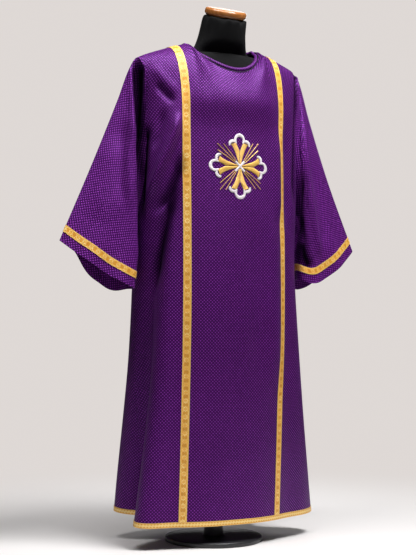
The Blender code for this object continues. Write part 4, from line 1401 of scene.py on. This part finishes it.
def makeStitchTree():
    # short rounded stitches end to end along every line, each a little askew
    tree, given, out, even = newRowTree("stitchRow", [
        ("Spacing", "Float", 0.0035), ("Length", "Float", 0.0026),
        ("Thickness", "Float", 0.0005), ("Slant", "Float", 0.0), ("Seed", "Int", 7)])
    ahead = addNode(tree, "GeometryNodeInputTangent")
    aligned = addNode(tree, "FunctionNodeAlignRotationToVector", {"Vector": ahead}, axis="X")
    wander = addNode(tree, "FunctionNodeRandomValue",
                     {0: (-0.05, -0.05, -0.10), 1: (0.05, 0.05, 0.10), "Seed": given["Seed"]},
                     data_type="FLOAT_VECTOR")
    slanted = addNode(tree, "ShaderNodeCombineXYZ", {"Z": given["Slant"]})
    tilt = calculate("ADD", wander, slanted, kind="ShaderNodeVectorMath")
    turned = addNode(tree, "FunctionNodeRotateRotation", {"Rotation": aligned, 1: tilt},
                     rotation_space="LOCAL")
    ball = addNode(tree, "GeometryNodeMeshUVSphere", {"Segments": 6, "Rings": 5, "Radius": 0.5})
    soft = addNode(tree, "GeometryNodeSetShadeSmooth", {0: ball})
    size = addNode(tree, "ShaderNodeCombineXYZ", {
        "X": given["Length"], "Y": given["Thickness"], "Z": given["Thickness"]})
    placed = addNode(tree, "GeometryNodeInstanceOnPoints", {
        "Points": even, "Instance": soft, "Rotation": turned, "Scale": size})
    return closeRowTree(tree, given, out, placed)


laidThread = makeThreadTree()
stitchRow = makeStitchTree()


def alongLines(name, lines, tree, paint, slot, **values):
    # run a tree over open lines of points and keep the result as a plain mesh
    points, edges = [], []
    for line in lines:
        first = len(points)
        points.extend([tuple(point) for point in line])
        edges.extend([(first + k, first + k + 1) for k in range(len(line) - 1)])
    piece = addObject(name, newMesh(name, points, [], edges))
    modifier = piece.modifiers.new("rows", "NODES")
    modifier.node_group = tree
    values["Finish"] = paint
    for item in tree.interface.items_tree:
        if item.in_out == "INPUT" and item.name in values:
            modifier[item.identifier] = values[item.name]
    return settle(piece, slot)


rays = []
for quarter in range(4):
    turn = math.pi / 2 * quarter
    ahead = np.array([round(math.sin(turn)), round(math.cos(turn))])
    beside = np.array([ahead[1], -ahead[0]])
    for low, high in cross["rays"]:
        flat = np.linspace(low, high, cross["raySteps"]) * cross["half"]
        lift = cross["lift"] + cross["rayRadius"] * cross["rayProud"]
        spots = flat[:, :1] * beside + flat[:, 1:] * ahead
        rays.append([chestPoint(x, cross["height"] + z, lift) for x, z in spots])
trims.append(alongLines("crossRays", rays, laidThread, satins["gold"], "gold_embroidery",
                        Radius=cross["rayRadius"], Spacing=0.002, Sides=6))
print("breast cross made")


# The dress form, its cap and the stand

formLook = {"subdivide": 2, "creaseDegrees": 40, "roundFaceCorners": 6, "capFaceCorners": 99,
            "rimSharpness": 0.85}
cap = {"radius": 0.0575, "thickness": 0.020, "rounding": 0.0075, "lean": 20.0,
       "bottom": (0.0, -0.068, 1.435)}
stand = {"baseRadius": 0.135, "baseThickness": 0.014, "baseRounding": 0.005,
         "poleRadius": 0.016, "poleRounding": 0.001,
         "collar": [(0.0, 0.030), (0.010, 0.026), (0.012, 0.003), (0.016, 0.0)]}


def makeFormPaint():
    paint, tree, shader = newPaint("formJersey")
    place = addNode(tree, "ShaderNodeTexCoord", output="Object")
    knit = addNode(tree, "ShaderNodeTexWave",
                   {"Vector": place, "Scale": 420.0, "Distortion": 0.6}, "Fac",
                   wave_type="BANDS", bands_direction="Z")
    fill(shader, {
        "Base Color": scaleColour((0.0075, 0.0075, 0.008), uneven(tree, 9.0, 0.25)),
        "Normal": bump(knit, 0.0002, 0.5),
        "Roughness": 0.85,
        "Specular IOR Level": 0.12,
    })
    return paint


def makeWoodPaint():
    paint, tree, shader = newPaint("varnishedWood")
    place = addNode(tree, "ShaderNodeTexCoord", output="Object")
    stretched = addNode(tree, "ShaderNodeMapping", {
        "Vector": place, "Scale": (3.0, 26.0, 26.0), "Rotation": (0.1, 0.05, 0.5)})
    grain = noise(stretched, 4.0, Detail=6.0, Distortion=0.8)
    lines = addNode(tree, "ShaderNodeTexWave",
                    {"Vector": stretched, "Scale": 1.6, "Distortion": 5.0, "Detail": 3.0}, "Fac",
                    wave_type="BANDS", bands_direction="Y")
    fill(shader, {
        "Base Color": blendColours(lines * 0.4 + grain * 0.6, (0.50, 0.20, 0.055),
                                   (0.27, 0.080, 0.012)),
        "Normal": bump(grain, 0.0002, 0.3),
        "Roughness": 0.32,
        "Coat Weight": 0.6,
        "Coat Roughness": 0.12,
    })
    return paint


def makeSteelPaint():
    paint, tree, shader = newPaint("standPaint")
    place = addNode(tree, "ShaderNodeTexCoord", output="Object")
    change = uneven(tree, 60.0, 0.15)
    fill(shader, {
        "Base Color": scaleColour((0.022, 0.022, 0.024), change),
        "Roughness": change * 0.38,
        "Normal": bump(noise(place, 900.0), 0.0001, 0.4),
    })
    return paint


def makeForm(values):
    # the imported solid, joined up and smoothed, with its crisp rims kept
    shape = bmesh.new()
    shape.from_mesh(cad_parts["form"].data)
    bmesh.ops.remove_doubles(shape, verts=shape.verts, dist=1e-5)
    bmesh.ops.join_triangles(shape, faces=shape.faces, angle_face_threshold=0.7,
                             angle_shape_threshold=3.1)
    layer = shape.edges.layers.float.new("crease_edge")
    for edge in shape.edges:
        corners = [len(face.verts) for face in edge.link_faces]
        bent = len(corners) == 2 and edge.calc_face_angle() > math.radians(values["creaseDegrees"])
        if bent and min(corners) < values["capFaceCorners"]:
            if max(corners) > values["roundFaceCorners"]:
                edge[layer] = values["rimSharpness"]
    mesh = bpy.data.meshes.new("formBody")
    shape.to_mesh(mesh)
    shape.free()
    piece = finishMesh("formBody", mesh, makeFormPaint())
    modifier = piece.modifiers.new("rounding", "SUBSURF")
    modifier.levels = values["subdivide"]
    modifier.render_levels = values["subdivide"]
    return settle(piece, "form_cover", "form")


def lathe(name, profile, steps, paint, tilt=0.0, place=(0, 0, 0)):
    # profile points are (radius, height), from the axis at the top to the axis below
    turn = 2 * math.pi * np.arange(steps) / steps
    rings = [(radius * np.cos(turn), radius * np.sin(turn), np.full(steps, height))
             for radius, height in profile[1:-1]]
    ends = [(0, 0, height) for _, height in (profile[0], profile[-1])]
    spots = np.concatenate([*np.swapaxes(rings, 1, 2), ends])
    top, bottom = len(spots) - 2, len(spots) - 1
    faces = gridFaces(len(rings), steps, True).tolist()
    for c in range(steps):
        n = (c + 1) % steps
        faces.append((top, n, c))
        faces.append((bottom, top - steps + c, top - steps + n))
    y = spots[:, 1] * math.cos(tilt) - spots[:, 2] * math.sin(tilt)
    z = spots[:, 1] * math.sin(tilt) + spots[:, 2] * math.cos(tilt)
    spots[:, 1], spots[:, 2] = y, z
    return finishMesh(name, newMesh(name, spots + np.array(place), faces), paint)


def roundedProfile(radius, thickness, rounding, arcs=8):
    turn = np.linspace(0, math.pi / 2, arcs + 1)
    upper = [(radius - rounding + rounding * math.sin(t),
              thickness - rounding + rounding * math.cos(t)) for t in turn]
    lower = [(radius - rounding + rounding * math.cos(t),
              rounding - rounding * math.sin(t)) for t in turn]
    flat = (radius - rounding) * 0.6
    return [(0, thickness), (flat, thickness), *upper, *lower, (flat, 0), (0, 0)]


formPiece = makeForm(formLook)
lean = math.radians(cap["lean"])
place = np.array(cap["bottom"]) + np.array([0, -math.sin(lean), math.cos(lean)]) * cloth["gap"]
capProfile = roundedProfile(cap["radius"], cap["thickness"], cap["rounding"])
settle(lathe("neckCap", capProfile, 96, makeWoodPaint(), lean, place),
       "neck_cap_wood", "neck_cap")

steel = makeSteelPaint()
baseProfile = roundedProfile(stand["baseRadius"], stand["baseThickness"], stand["baseRounding"])
settle(lathe("standBase", baseProfile, 96, steel), "stand_steel", "stand_base")
radius, rounding = stand["poleRadius"], stand["poleRounding"]
low, high = stand["baseThickness"] + cloth["gap"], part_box("stand_pole")[1][2]
poleProfile = [(0, high), (radius - rounding, high), (radius, high - rounding),
               *[(radius + out, low + up) for out, up in stand["collar"]], (0, low)]
settle(lathe("standPole", poleProfile, 64, steel), "stand_steel", "stand_pole")
print("form and stand made")


# Stitching along the braids and under the neck roll

stitching = {
    "band": {"Spacing": 0.0036, "Length": 0.0028, "Thickness": 0.00045, "Slant": 0.0},
    "neck": {"Spacing": 0.0042, "Length": 0.0050, "Thickness": 0.0030, "Slant": 0.5},
    "inset": 0.0016,
    "belowNeck": 0.0020,
}


def makeThreadPaint(name, colour, roughness):
    paint, tree, shader = newPaint(name)
    fill(shader, {"Base Color": scaleColour(colour, uneven(tree, 400.0, 0.3)),
                  "Roughness": roughness})
    return paint


goldThread = makeThreadPaint("goldThread", (0.95, 0.56, 0.12), 0.4)
# near-black thread: the stitches under the neck roll are real, and their colour is also the
# painted shade of the groove under the roll
grooveShadeThread = makeThreadPaint("grooveShadeThread", (0.012, 0.0008, 0.022), 0.7)


def edgeLines(grid, normals, lift, inset):
    # two lines just inside both long edges of a braid
    share = inset / np.linalg.norm(grid[:, -1] - grid[:, 0], axis=1).mean()
    cells = grid.shape[1] - 1
    lines = []
    for spot in (share * cells, (1 - share) * cells):
        k = min(int(spot), cells - 1)
        line = grid[:, k] + (grid[:, k + 1] - grid[:, k]) * (spot - k)
        lines.append(line + normals[:, k] * lift)
    return lines


lift = band["thickness"] + stitching["band"]["Thickness"] / 4
for name, side in sides.items():
    lines = edgeLines(strips[name], gridNormals(strips[name]), lift, stitching["inset"])
    trims.append(alongLines(name + "BandStitches", lines, stitchRow, goldThread, "gold_braid",
                            Seed=5 + side, **stitching["band"]))


def belowNeck(grid, normals, distance):
    # a line on the panel at one distance under the neck edge
    column = grid[::-1][:, neckSpan]
    down = reach(column)
    points = [[np.interp(distance, down[:, c], column[:, c, k]) for k in range(3)]
              for c in range(column.shape[1])]
    return np.array(points) + normals[-4, neckSpan] * 0.0002


# a row of real stitches, near-black as painted shade for the groove under the roll
neckLines = [belowNeck(grid, normals, stitching["belowNeck"])
             for grid, normals in ((front, frontOut), (back, backOut))]
trims.append(alongLines("neckStitches", neckLines, stitchRow, grooveShadeThread, "neck_roll",
                        Seed=11, **stitching["neck"]))
print("stitching made")


# The cut of each sheet of cloth, measured on the mesh

size, area = frontCut
print("front panel: %.3f x %.3f m, %.3f square metres" % (*size, area))
size, area = backCut
print("back panel: %.3f x %.3f m, %.3f square metres" % (*size, area))
for name in ("right", "left"):
    size, area = sleeveCuts[name]
    print("%s sleeve: %.3f m round x %.3f m, %.3f square metres" % (name, *size, area))
